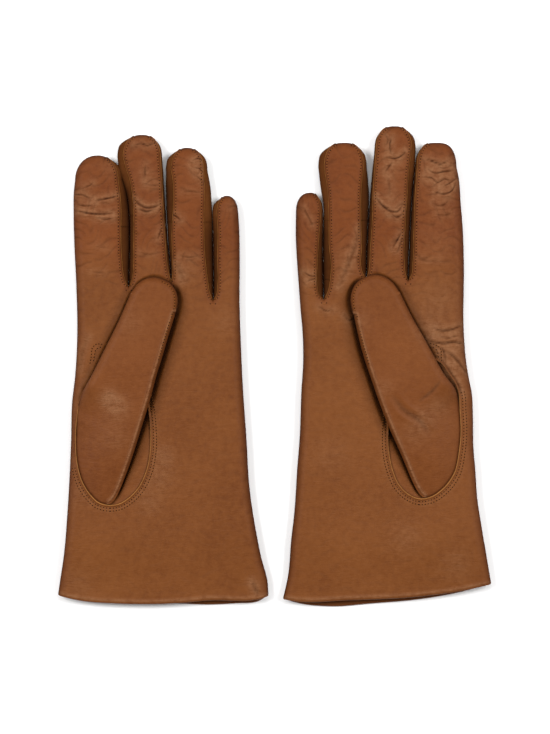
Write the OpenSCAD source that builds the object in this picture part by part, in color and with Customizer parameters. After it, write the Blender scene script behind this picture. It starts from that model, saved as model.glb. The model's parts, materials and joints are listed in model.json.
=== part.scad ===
// A pair of plain leather dress gloves lying on their backs, palms up, fingers along +Y.
// The origin is under the middle of the pair. Each glove is drawn in its own frame: u runs across the
// hand towards the thumb, v runs along the hand towards the fingertips.

/* [Leather] */
// Thickness of the glove leather
leather = 0.9; // [0.6:0.1:1.1]
// Thickness of the silk lining
silk = 0.6; // [0.4:0.1:0.7]
// Space between the leather and the lining
lining_gap = 0.1; // [0.05:0.05:0.15]
// Width of the hem that is turned in at the cuff
hem_width = 15; // [8:1:20]
// Thickness of the turned-in hem
hem_leather = 0.8; // [0.5:0.1:0.9]

/* [Hand] */
// Height of the hand and the fingers as they lie
hand_height = 10; // [9.5:0.5:12]
// How much further the back reaches than the palm at the cuff
back_overhang = 1.6; // [0:0.1:3]
// Distance across from the left glove's middle to the middle of the pair
left_place = -65.2; // [-90:0.1:-65]
// Distance across from the right glove's middle to the middle of the pair
right_place = 60.5; // [60:0.1:90]
// Heights along the hand where its two sides are given, from the wrist to below the fingers
side_v = [-105, -75, -40, -5, 22]; // [-110:1:30]
// Left glove: distance of the thumb side at those heights
left_thumb_side = [51.8, 49.3, 47.8, 45.4, 44.5]; // [40:0.1:60]
// Left glove: distance of the little-finger side at those heights
left_little_side = [57.5, 52.5, 49.7, 47.3, 46]; // [40:0.1:60]
// Right glove: distance of the thumb side at those heights
right_thumb_side = [57.3, 52.2, 49.8, 47, 44.7]; // [40:0.1:60]
// Right glove: distance of the little-finger side at those heights
right_little_side = [52, 48.8, 46.5, 44.8, 45.6]; // [40:0.1:60]

/* [Fingers] */
// Distance from a finger's root to the knuckle where it bends off the hand
root_knuckle = 9; // [8:0.5:12]
// Distance from each finger's root to its middle knuckle, index to little
mid_knuckle = [42, 46, 44, 32]; // [28:1:48]
// Clearance between the two sides of a knuckle
knuckle_gap = 0.4; // [0.3:0.1:0.8]
// Length of the rounded end of a finger
tip_round = 12; // [9:1:14]
// Left glove: place of each finger's root across the hand, index to little
left_root_u = [31, 4.1, -19.2, -38.7]; // [-45:0.1:35]
// Left glove: height of each finger's root
left_root_v = [43.5, 45.5, 44, 36]; // [30:0.5:50]
// Left glove: width of each finger
left_finger_width = [27.6, 22.2, 21.8, 14.8]; // [13:0.2:28]
// Left glove: length of each finger from its root
left_finger_length = [73.5, 83, 77.5, 58.5]; // [55:0.5:90]
// Left glove: lean of each finger towards the thumb, in degrees
left_finger_lean = [1.7, 3, 2, 1]; // [-2:0.1:3]
// Left glove: height of each fork, index-middle to ring-little
left_fork_v = [44, 46, 36]; // [30:0.5:50]
// Right glove: place of each finger's root across the hand, index to little
right_root_u = [31, 3, -21.4, -41.1]; // [-45:0.1:35]
// Right glove: height of each finger's root
right_root_v = [46, 48, 45, 36]; // [30:0.5:50]
// Right glove: width of each finger
right_finger_width = [27.2, 22.6, 23, 14]; // [13:0.2:28]
// Right glove: length of each finger from its root
right_finger_length = [77.5, 85, 79, 60]; // [55:0.5:90]
// Right glove: lean of each finger towards the thumb, in degrees
right_finger_lean = [0, 1.8, -0.5, -1.5]; // [-2:0.1:3]
// Right glove: height of each fork, index-middle to ring-little
right_fork_v = [47, 48, 36.5]; // [30:0.5:50]

/* [Thumb] */
// Height of the thumb that lies on the palm
thumb_height = 9.6; // [9:0.1:11]
// Clearance between the thumb and the palm under it
thumb_clearance = 0.4; // [0.3:0.1:0.8]
// Left glove: middle of the oval thumb opening
left_oval = [24.7, -38]; // [-45:0.1:30]
// Left glove: half width and half height of the oval
left_oval_size = [20.9, 39]; // [18:0.1:42]
// Left glove: point where the thumb's fold crosses the middle of the thumb
left_thumb_root = [24, -19]; // [-25:0.1:30]
// Left glove: thumb's lean towards the little finger, length past the fold, width there and near the tip
left_thumb = [21.6, 71.5, 36.5, 26.5]; // [15:0.1:80]
// Right glove: middle of the oval thumb opening
right_oval = [22.6, -35]; // [-45:0.1:30]
// Right glove: half width and half height of the oval
right_oval_size = [20.2, 38.3]; // [18:0.1:42]
// Right glove: point where the thumb's fold crosses the middle of the thumb
right_thumb_root = [20.5, -19]; // [-25:0.1:30]
// Right glove: thumb's lean towards the little finger, length past the fold, width there and near the tip
right_thumb = [23.7, 74, 38.5, 28]; // [15:0.1:80]
// Middle of the quirk beside the thumb, from the middle of the oval
quirk_from_oval = [12, 46]; // [5:0.5:50]
// Half width and half length of the quirk
quirk_size = [4, 7]; // [2:0.5:8]

/* [Hidden] */
FINGERS = ["index", "middle", "ring", "little"];

tan_leather = [0.52, 0.30, 0.16];
edge_leather = [0.45, 0.25, 0.13];
champagne_silk = [0.78, 0.70, 0.58];

cuff_v = -131; // lowest line of the palm's cuff
left_cuff = [[-62, -127], [-44, cuff_v], [23, cuff_v], [43, -129.5], [55, -127]];
right_cuff = [[-55.5, -129], [-47, -131.5], [-28, -133], [19, -129.5], [43, -125], [59.7, -120.5]];

INDEX = 0;
LITTLE = 3;
far = 400; // larger than the glove, for cutting blocks
oval_steps = 40;
tip_steps = 10;
tip_power = 0.8; // below 1 squares the rounded end off a little
fork_depth = 3; // how far the fork's sides reach above its bottom
quirk_rise = 1.5; // slant of the quirk's two sides
hem_top_v = cuff_v + hem_width;

lining_out = leather + lining_gap;
lining_in = lining_out + silk;
thumb_floor = hand_height + thumb_clearance;
thumb_top = thumb_floor + thumb_height;
half_gap = knuckle_gap / 2;

// One glove's figures, in the order that the functions below read them.
LEFT = [left_place, 1, left_thumb_side, left_little_side, left_cuff, left_root_u, left_root_v,
    left_finger_width, left_finger_length, left_finger_lean, left_fork_v, left_oval, left_oval_size,
    left_thumb_root, left_thumb];
RIGHT = [right_place, 0, right_thumb_side, right_little_side, right_cuff, right_root_u, right_root_v,
    right_finger_width, right_finger_length, right_finger_lean, right_fork_v, right_oval, right_oval_size,
    right_thumb_root, right_thumb];

function thumb_side(g) = [for (i = [0 : len(side_v) - 1]) [g[2][i], side_v[i]]];
function little_side(g) = [for (i = [0 : len(side_v) - 1]) [-g[3][i], side_v[i]]];
function cuff(g) = g[4];
function root_u(g, f) = g[5][f];
function root_v(g, f) = g[6][f];
function width(g, f) = g[7][f];
function finger_length(g, f) = g[8][f];
function lean(g, f) = g[9][f];
function fork_v(g, k) = g[10][k];
function oval_middle(g) = g[11];
function oval_size(g) = g[12];
function thumb_root_at(g) = g[13];
function thumb_lean(g) = g[14][0];
function thumb_length(g) = g[14][1];
function thumb_width(g) = g[14][2];
function thumb_tip_width(g) = g[14][3];

function reversed(list) = [for (i = [len(list) - 1 : -1 : 0]) list[i]];
function moved(list, by) = [for (p = list) p + by];

// A point of finger f: across it towards the thumb, and along it from its root.
function finger_point(g, f, across, along) =
    [root_u(g, f) + across * cos(lean(g, f)) + along * sin(lean(g, f)),
     root_v(g, f) - across * sin(lean(g, f)) + along * cos(lean(g, f))];

// The point on one side of a finger level with the top of a fork's slant.
function fork_side(g, f, k, across) =
    finger_point(g, f, across, fork_v(g, k) + fork_depth - root_v(g, f));

// Fork k lies between finger k and finger k + 1; inset draws it inside the leather.
function fork_thumb_side(g, k, inset) = fork_side(g, k, k, inset - width(g, k) / 2);
function fork_little_side(g, k, inset) = fork_side(g, k + 1, k, width(g, k + 1) / 2 - inset);
function fork_bottom(g, k, inset) =
    [(fork_thumb_side(g, k, 0)[0] + fork_little_side(g, k, 0)[0]) / 2, fork_v(g, k) - quirk_rise * inset];

// The hand's outline with the four finger stubs, inset all round. Reach lengthens the stubs.
function hand_outline(g, inset, cuff_rise, reach) = concat(
    moved(thumb_side(g), [-inset, 0]),
    [finger_point(g, INDEX, width(g, INDEX) / 2 - inset, root_knuckle + reach)],
    [for (k = [0 : LITTLE - 1]) each [
        finger_point(g, k, inset - width(g, k) / 2, root_knuckle + reach),
        fork_thumb_side(g, k, inset),
        fork_bottom(g, k, inset),
        fork_little_side(g, k, inset),
        finger_point(g, k + 1, width(g, k + 1) / 2 - inset, root_knuckle + reach)
    ]],
    [finger_point(g, LITTLE, inset - width(g, LITTLE) / 2, root_knuckle + reach)],
    reversed(moved(little_side(g), [inset, 0])),
    [for (i = [0 : len(cuff(g)) - 1])
        cuff(g)[i] + [i == 0 ? inset : i == len(cuff(g)) - 1 ? -inset : 0, cuff_rise]]
);

// A strip of leather along one side of the hand, from the cuff to the end of the stub.
function side_band(points, across) = concat(points, reversed(moved(points, [across, 0])));
function thumb_edge(g) = concat([cuff(g)[len(cuff(g)) - 1] + [0, back_overhang]], thumb_side(g),
    [finger_point(g, INDEX, width(g, INDEX) / 2, root_knuckle - half_gap)]);
function little_edge(g) = concat([cuff(g)[0] + [0, back_overhang]], little_side(g),
    [finger_point(g, LITTLE, -width(g, LITTLE) / 2, root_knuckle - half_gap)]);

// The oval thumb opening, inset.
function oval(g, inset) = [for (i = [0 : oval_steps - 1])
    let (a = 360 * i / oval_steps)
    oval_middle(g) + [(oval_size(g)[0] - inset) * cos(a), (oval_size(g)[1] - inset) * sin(a)]];

// The rounded end of a finger or thumb that is wide by 2 * half and ends at the height end.
function rounded_end(half, end, round) = [for (i = [0 : tip_steps])
    let (a = 180 * i / tip_steps, c = cos(a), s = sin(a))
    [half * sign(c) * pow(abs(c), tip_power), end - round + round * pow(s, tip_power)]];

// A finger's outline from one height to its rounded end, in the finger's own frame.
function tip_outline(g, f, inset, from) = concat(
    rounded_end(width(g, f) / 2 - inset, finger_length(g, f) - inset, tip_round - inset),
    [[inset - width(g, f) / 2, from], [width(g, f) / 2 - inset, from]]
);

// The thumb's outline past its fold, in the thumb's own frame.
function thumb_outline(g, inset, from) = concat(
    rounded_end(thumb_tip_width(g) / 2 - inset, thumb_length(g) - inset, thumb_tip_width(g) / 2 - inset),
    [[inset - thumb_width(g) / 2, from], [thumb_width(g) / 2 - inset, from]]
);

module place(g) {
    translate([g[0], 0, 0]) mirror([g[1], 0, 0]) children();
}

module at_finger(g, f) {
    place(g) translate([root_u(g, f), root_v(g, f), 0]) rotate([0, 0, -lean(g, f)]) children();
}

module at_thumb(g) {
    translate([thumb_root_at(g)[0], thumb_root_at(g)[1], 0]) rotate([0, 0, thumb_lean(g)]) children();
}

module slab(points, from, to) {
    translate([0, 0, from]) linear_extrude(to - from) polygon(points);
}

// Everything above one height along the hand.
module above_v(v) {
    translate([-far / 2, v, -far / 4]) cube([far, far, far]);
}

// The raised root of the thumb: the oval as far as the thumb's fold.
module oval_block(g, inset, from, to, reach) {
    intersection() {
        slab(oval(g, inset), from, to);
        at_thumb(g) translate([-far / 2, -far + reach, -far / 4]) cube([far, far, far]);
    }
}

// The trank: palm, back, the folded thumb side, the sewn little-finger side and the turned-in hem.
module trank(g) {
    color(tan_leather) place(g) {
        slab(hand_outline(g, 0, 0, -half_gap), 0, leather);
        difference() {
            slab(hand_outline(g, 0, back_overhang, -half_gap), hand_height - leather, hand_height);
            oval_block(g, leather, hand_height - 2 * leather, hand_height + leather, -half_gap);
        }
        slab(side_band(thumb_edge(g), -leather), leather, hand_height - leather);
        slab(side_band(little_edge(g), leather), leather, hand_height - leather);
        difference() {
            union() {
                slab(hand_outline(g, leather, back_overhang, 0), leather, leather + hem_leather);
                slab(hand_outline(g, leather, back_overhang, 0),
                    hand_height - leather - hem_leather, hand_height - leather);
            }
            above_v(hem_top_v);
        }
    }
}

// The lower ends of the fourchettes in the three forks, and the small diamond quirks that finish them.
module forks_and_quirks(g) {
    color(edge_leather) place(g) {
        for (k = [0 : LITTLE - 1]) {
            slab([
                fork_thumb_side(g, k, 0),
                finger_point(g, k, -width(g, k) / 2, root_knuckle - half_gap),
                finger_point(g, k, leather - width(g, k) / 2, root_knuckle - half_gap),
                fork_thumb_side(g, k, leather)
            ], leather, hand_height - leather);
            slab([
                fork_little_side(g, k, 0),
                finger_point(g, k + 1, width(g, k + 1) / 2, root_knuckle - half_gap),
                finger_point(g, k + 1, width(g, k + 1) / 2 - leather, root_knuckle - half_gap),
                fork_little_side(g, k, leather)
            ], leather, hand_height - leather);
            slab([
                fork_thumb_side(g, k, 0),
                fork_bottom(g, k, 0),
                fork_little_side(g, k, 0),
                fork_little_side(g, k, leather),
                fork_bottom(g, k, leather),
                fork_thumb_side(g, k, leather)
            ], leather, hand_height - leather);
        }
        translate([oval_middle(g)[0] + quirk_from_oval[0], oval_middle(g)[1] + quirk_from_oval[1], 0])
            slab([[quirk_size[0], 0], [0, quirk_size[1]], [-quirk_size[0], 0], [0, -quirk_size[1]]],
                hand_height, hand_height + leather);
    }
}

// The fixed root of the thumb, sewn into the oval.
module thumb_root(g) {
    color(tan_leather) place(g) difference() {
        oval_block(g, 0, hand_height, thumb_top, -half_gap);
        oval_block(g, leather, hand_height - leather, thumb_top - leather, leather);
    }
}

// The lining of the hand, with the part that goes up into the thumb's root.
module hand_lining(g) {
    color(champagne_silk) place(g) difference() {
        union() {
            intersection() {
                slab(hand_outline(g, lining_out, 0, -half_gap), lining_out, hand_height - lining_out);
                above_v(hem_top_v + lining_gap);
            }
            oval_block(g, lining_out, hand_height - lining_in, thumb_top - lining_out, -half_gap);
        }
        slab(hand_outline(g, lining_in, 0, silk), lining_in, hand_height - lining_in);
        oval_block(g, lining_in, hand_height / 2, thumb_top - lining_in, silk);
    }
}

// The thumb past its fold: one leather, folded along one side and sewn along the other.
module thumb(g) {
    color(tan_leather) place(g) at_thumb(g) difference() {
        slab(thumb_outline(g, 0, half_gap), thumb_floor, thumb_top);
        slab(thumb_outline(g, leather, -leather), thumb_floor + leather, thumb_top - leather);
    }
}

module thumb_lining(g) {
    color(champagne_silk) place(g) at_thumb(g) difference() {
        slab(thumb_outline(g, lining_out, half_gap), thumb_floor + lining_out, thumb_top - lining_out);
        slab(thumb_outline(g, lining_in, -leather), thumb_floor + lining_in, thumb_top - lining_in);
    }
}

// A block across a finger between two heights along it, inset from its sides.
module finger_block(g, f, inset, from, to, bottom, top) {
    half = width(g, f) / 2 - inset;
    slab([[half, from], [half, to], [-half, to], [-half, from]], bottom, top);
}

// A strip on one side of a finger: side is 1 towards the thumb and -1 towards the little finger.
module side_strip(g, f, side, from, to) {
    outer = side * width(g, f) / 2;
    inner = outer - side * leather;
    slab([[outer, from], [outer, to], [inner, to], [inner, from]], leather, hand_height - leather);
}

// The sides of a finger that have a fourchette; the others are a fold or the side seam of the trank.
function fourchette_sides(f) = f == INDEX ? [-1] : f == LITTLE ? [1] : [-1, 1];
function plain_sides(f) = f == INDEX ? [1] : f == LITTLE ? [-1] : [];

module base_stall(g, f) {
    from = root_knuckle + half_gap;
    to = mid_knuckle[f] - half_gap;
    color(tan_leather) at_finger(g, f) {
        finger_block(g, f, 0, from, to, 0, leather);
        finger_block(g, f, 0, from, to, hand_height - leather, hand_height);
        for (side = plain_sides(f)) side_strip(g, f, side, from, to);
    }
}

module base_fourchettes(g, f) {
    color(edge_leather) at_finger(g, f)
        for (side = fourchette_sides(f))
            side_strip(g, f, side, root_knuckle + half_gap, mid_knuckle[f] - half_gap);
}

module base_lining(g, f) {
    from = root_knuckle + half_gap;
    to = mid_knuckle[f] - half_gap;
    color(champagne_silk) at_finger(g, f) difference() {
        finger_block(g, f, lining_out, from, to, lining_out, hand_height - lining_out);
        finger_block(g, f, lining_in, from - 1, to + 1, lining_in, hand_height - lining_in);
    }
}

// The end of a finger: front and back sewn together around the rounded tip.
module tip_stall(g, f) {
    from = mid_knuckle[f] + half_gap;
    seam = finger_length(g, f) - tip_round;
    color(tan_leather) at_finger(g, f) {
        difference() {
            slab(tip_outline(g, f, 0, from), 0, hand_height);
            slab(tip_outline(g, f, leather, from - 1), leather, hand_height - leather);
            for (side = [-1, 1])
                translate([side * width(g, f) / 2, (from + seam) / 2, hand_height / 2])
                    cube([4 * leather, seam - from, hand_height - 2 * leather], center = true);
            translate([-far / 2, from - 1, leather]) cube([far, 1, hand_height - 2 * leather]);
        }
        for (side = plain_sides(f)) side_strip(g, f, side, from, seam);
    }
}

module tip_fourchettes(g, f) {
    color(edge_leather) at_finger(g, f)
        for (side = fourchette_sides(f))
            side_strip(g, f, side, mid_knuckle[f] + half_gap, finger_length(g, f) - tip_round);
}

module tip_lining(g, f) {
    from = mid_knuckle[f] + half_gap;
    color(champagne_silk) at_finger(g, f) difference() {
        slab(tip_outline(g, f, lining_out, from), lining_out, hand_height - lining_out);
        slab(tip_outline(g, f, lining_in, from - 1), lining_in, hand_height - lining_in);
    }
}

for (side = ["left", "right"]) {
    g = side == "left" ? LEFT : RIGHT;
    trank(g);
    forks_and_quirks(g);
    thumb_root(g);
    hand_lining(g);
    thumb(g);
    thumb_lining(g);
    for (f = [INDEX : LITTLE]) {
        finger = str(side, "_", FINGERS[f]);
        base_stall(g, f);
        base_fourchettes(g, f);
        base_lining(g, f);
        tip_stall(g, f);
        tip_fourchettes(g, f);
        tip_lining(g, f);
    }
}
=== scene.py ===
import json
import math
import bpy
import numpy as np
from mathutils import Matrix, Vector
from mathutils.kdtree import KDTree


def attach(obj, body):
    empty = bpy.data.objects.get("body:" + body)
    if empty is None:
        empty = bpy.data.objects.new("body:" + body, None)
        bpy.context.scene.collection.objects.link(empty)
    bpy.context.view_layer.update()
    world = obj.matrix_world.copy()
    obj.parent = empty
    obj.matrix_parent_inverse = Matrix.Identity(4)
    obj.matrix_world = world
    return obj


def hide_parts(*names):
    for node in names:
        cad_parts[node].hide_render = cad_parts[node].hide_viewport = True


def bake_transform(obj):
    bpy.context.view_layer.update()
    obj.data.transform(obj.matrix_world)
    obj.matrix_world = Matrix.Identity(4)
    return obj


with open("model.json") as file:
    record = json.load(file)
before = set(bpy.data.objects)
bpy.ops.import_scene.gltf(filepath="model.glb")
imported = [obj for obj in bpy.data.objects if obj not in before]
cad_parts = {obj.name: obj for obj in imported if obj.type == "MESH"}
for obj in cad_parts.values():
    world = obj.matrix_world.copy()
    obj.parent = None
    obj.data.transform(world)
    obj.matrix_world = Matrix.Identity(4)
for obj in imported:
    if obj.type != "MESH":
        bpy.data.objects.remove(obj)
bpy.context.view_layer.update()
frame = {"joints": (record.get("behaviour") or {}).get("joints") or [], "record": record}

jointOf = {joint["name"]: joint for joint in frame["joints"]}
mountOf = {mount["name"]: mount for mount in frame["record"]["mounts"]}
fingerNames = ["index", "middle", "ring", "little"]
rng = np.random.default_rng(7)
print("frame loaded")

# Each glove is shaped in its own frame, in millimetres: u across the hand towards the thumb, v along
# the hand towards the fingertips, z up from the table. Curves, creases and spots are given as (v, u), but
# cuffs, forks and tips as (u, v). A crease has a path, a depth and a width. A spot has a reach and an amount.
# The sheen spots are painted sheen: paler colour where the leather catches the light.

leftGlove = {
    "side": "left", "mirror": -1,
    "thumbSide": [(-127, 55), (-122, 54.3), (-105, 51.8), (-81, 49.8), (-61, 48.6), (-41, 47.8), (-20, 47.2),
                  (-5, 45.5), (15, 44.4), (45, 44.9), (68, 46), (86, 46.4), (96, 46.3), (103, 45.6)],
    "littleSide": [(-127, -61.8), (-120, -61.4), (-106, -57.8), (-93, -55.2), (-68, -51.4), (-41, -49.7),
                   (-12, -47.7), (16, -46.4), (36, -45.8), (60, -45.9), (79, -45.5), (84.5, -45.1)],
    "palmCuff": [(-62, -127), (-57, -128.4), (-28, -129.3), (-12, -130.7), (23, -130.9), (43, -129.3),
                 (55, -126.6)],
    "backCuff": [(-62, -127), (-57, -129.8), (-44, -131.2), (-28, -131.9), (-12, -131.4), (23, -131.1),
                 (43, -129.5), (55, -126.6)],
    "forks": [(15.5, 43.5), (-7.8, 46), (-31.1, 36)],
    "cuffSplits": [18, -7, -33],
    "index": {"tip": (33, 117), "round": 14, "power": 2.2,
              "seamLittle": [(43.5, 15.5), (46, 17.2), (50, 18.5), (58, 19.5), (68, 20), (94, 20.4),
                             (103, 21.6)],
              "outLittle": [(43.5, 15.5), (50, 15.6), (68, 15.3), (88, 15.9), (96, 17.1), (103, 19.1)]},
    "middle": {"tip": (8.6, 128.4), "round": 12.5, "power": 2.6,
               "seamThumb": [(43.5, 15.5), (46, 14.2), (50, 13.2), (60, 12.9), (86, 12.9), (96, 13.5),
                             (104, 15), (110, 17), (116, 18.6)],
               "outThumb": [(43.5, 15.5), (50, 15.5), (68, 15.2), (88, 15.8), (96, 17), (103, 19),
                            (110, 21.3), (116, 22.1)],
               "seamLittle": [(46, -7.8), (49, -7), (56, -5.6), (68, -4.6), (90, -3.2), (105, -2.5),
                              (116, -1.7)],
               "outLittle": [(46, -7.8), (53, -7.5), (68, -5.9), (90, -4.5), (105, -3.6), (116, -2.8)]},
    "ring": {"tip": (-16.5, 121.2), "round": 12.5, "power": 2.5,
             "seamThumb": [(46, -7.8), (49, -8.7), (57, -8.9), (75, -8.4), (90, -9.3), (105, -8.8),
                           (109, -8)],
             "outThumb": [(46, -7.8), (53, -7.7), (68, -6.3), (90, -5.1), (105, -4.8), (109, -4.9)],
             "seamLittle": [(36, -31.1), (39, -29.7), (49, -27.8), (64, -26.3), (79, -25.9), (100, -26.2),
                            (109, -25.8)],
             "outLittle": [(36, -31.1), (45, -31.2), (60, -31), (80, -30.7), (92, -30.2), (98, -29.8),
                           (109, -27.9)]},
    "little": {"tip": (-38.6, 94.6), "round": 10.2, "power": 2.3,
               "seamThumb": [(36, -31.1), (39, -33), (45, -33.9), (60, -33.7), (75, -34), (84.5, -33.4)],
               "outThumb": [(36, -31.1), (45, -31.4), (60, -31.2), (80, -30.9), (84.5, -30.7)]},
    "thumb": {
        # in the thumb's frame: x across it towards the thumb side, y along it from the fold
        "outer": [(-17, -55.3), (-10.2, -54), (-3, -50.4), (4.3, -42.9), (10.2, -32.8), (15, -20.6),
                  (17.1, -9.5), (17.2, -1), (15.9, 9.5), (14.9, 21.5), (13.9, 33), (13.1, 44), (12.7, 57)],
        "fold": [(-19.8, -53.6), (-21, -50.5), (-21.6, -46), (-21.7, -38.5), (-21.6, -30), (-21.1, -20.5),
                 (-20.3, -9.5), (-19.7, -1), (-18.8, 9.5), (-17.4, 21.5), (-16.5, 33), (-15.5, 44),
                 (-14.5, 57)],
        "tip": (-1.2, 72.3), "round": 15.3, "power": 2.3},
    "oval": [(-77, 26), (-75.6, 32), (-71.5, 36.5), (-64, 41.2), (-55, 43.8), (-44, 44.9), (-32, 44.5),
             (-21, 42.6), (-13, 39), (-5, 33.5), (2, 27), (3, 20), (-2, 13.5), (-10, 8.8), (-20, 5.6),
             (-34, 3.7), (-47, 3.7),
             (-58, 5.8), (-67, 10), (-73.4, 16), (-76.3, 21)],
    "stitchTop": -56,
    "quirk": [[(12, 30.4), (12.1, 33.4), (9.6, 35.8), (5.5, 36.2), (1.6, 36.9)],
              [(10.4, 31.2), (9.4, 33.4), (6.2, 34.4), (3, 34.9)]],
    "thumbSoft": [(-42, 30, 15, 0.5), (-20, 24, 12, -0.4), (0, 16, 12, 0.3)], "thumbCreases": [],
    "sheen": [(-18, 26, 5, 1.0), (-23, 21, 6, 0.8), (-40, 22, 8, 0.3), (-50, -4, 6, 0.5), (-62, -2, 7, 0.4),
              (-75, 4, 7, 0.35), (-72, 45, 8, 0.2), (24, 14, 8, 0.25), (112, 24, 7, 0.35), (104, 5, 6, 0.35),
              (110, -22, 5, 0.5), (88, -42, 5, 0.35), (54, -17, 7, 0.3), (25, -38, 8, 0.2),
              (-122, 45, 10, 0.25)],
    "creases": [
        ([(91.6, 34), (92.6, 28), (94.2, 21.4)], 0.55, 0.55),
        ([(86, 45), (84.3, 36), (84.1, 30), (84.6, 24)], 0.6, 0.6),
        ([(95, 45.5), (94.6, 41), (92.8, 37)], 0.45, 0.5),
        ([(98.6, 40.5), (100, 37), (101.3, 35.4)], 0.35, 0.5),
        ([(89.3, 44), (88.6, 39), (88.9, 35)], 0.3, 0.5), ([(81.8, 33), (81.2, 28), (81.6, 24)], 0.3, 0.5),
        ([(66, 33), (65.4, 27)], 0.18, 0.5), ([(52, 36), (51.5, 29)], 0.18, 0.5),
        ([(93, 13.4), (89.3, 9.4), (87.6, 5.4), (88, 1.6), (89.6, -2.4)], 0.75, 0.6),
        ([(86.5, 9.4), (85.6, 5.4), (86.8, 1)], 0.35, 0.6), ([(100.6, 6), (100, 1), (100.2, -2)], 0.3, 0.5),
        ([(122.4, 12.4), (123.2, 8.4), (122, 5.2), (123, 2)], 0.45, 0.5),
        ([(112, 6), (108, 6.6), (104, 6)], 0.25, 0.7),
        ([(77, -3.3), (73.5, -1.8), (70, -0.6)], 0.35, 0.6), ([(63, 10), (61.7, 5), (62.2, 1)], 0.22, 0.6),
        ([(83.8, -9), (82.6, -11), (80.8, -13)], 0.5, 0.5),
        ([(96.2, -15), (96.6, -19), (96, -24)], 0.22, 0.6),
        ([(114, -20), (115, -23), (113.4, -26)], 0.45, 0.5),
        ([(110, -20.5), (109.4, -23.5), (107, -25.8)], 0.4, 0.5),
        ([(105, -22), (103.6, -24), (101.6, -25.6)], 0.35, 0.5),
        ([(61, -13), (60.2, -18), (61, -23)], 0.22, 0.6),
        ([(57, -10), (52, -13), (47, -13.6)], 0.5, 1.6), ([(16, 38), (8, 41), (-2, 42.5)], 0.35, 1.4),
        ([(-120, -53), (-128, -56.5)], 0.9, 1.1)],
    "soft": [(-20, -22, 22, 0.5), (20, -28, 15, 0.35), (-70, 0, 26, -0.5), (-95, 25, 20, 0.4),
             (-60, -35, 18, 0.4), (62, 31, 12, 0.4), (75, 4, 8, 0.3), (70, -18, 9, 0.35),
             (-100, -30, 22, -0.4), (25, 25, 14, -0.35)],
}

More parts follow.
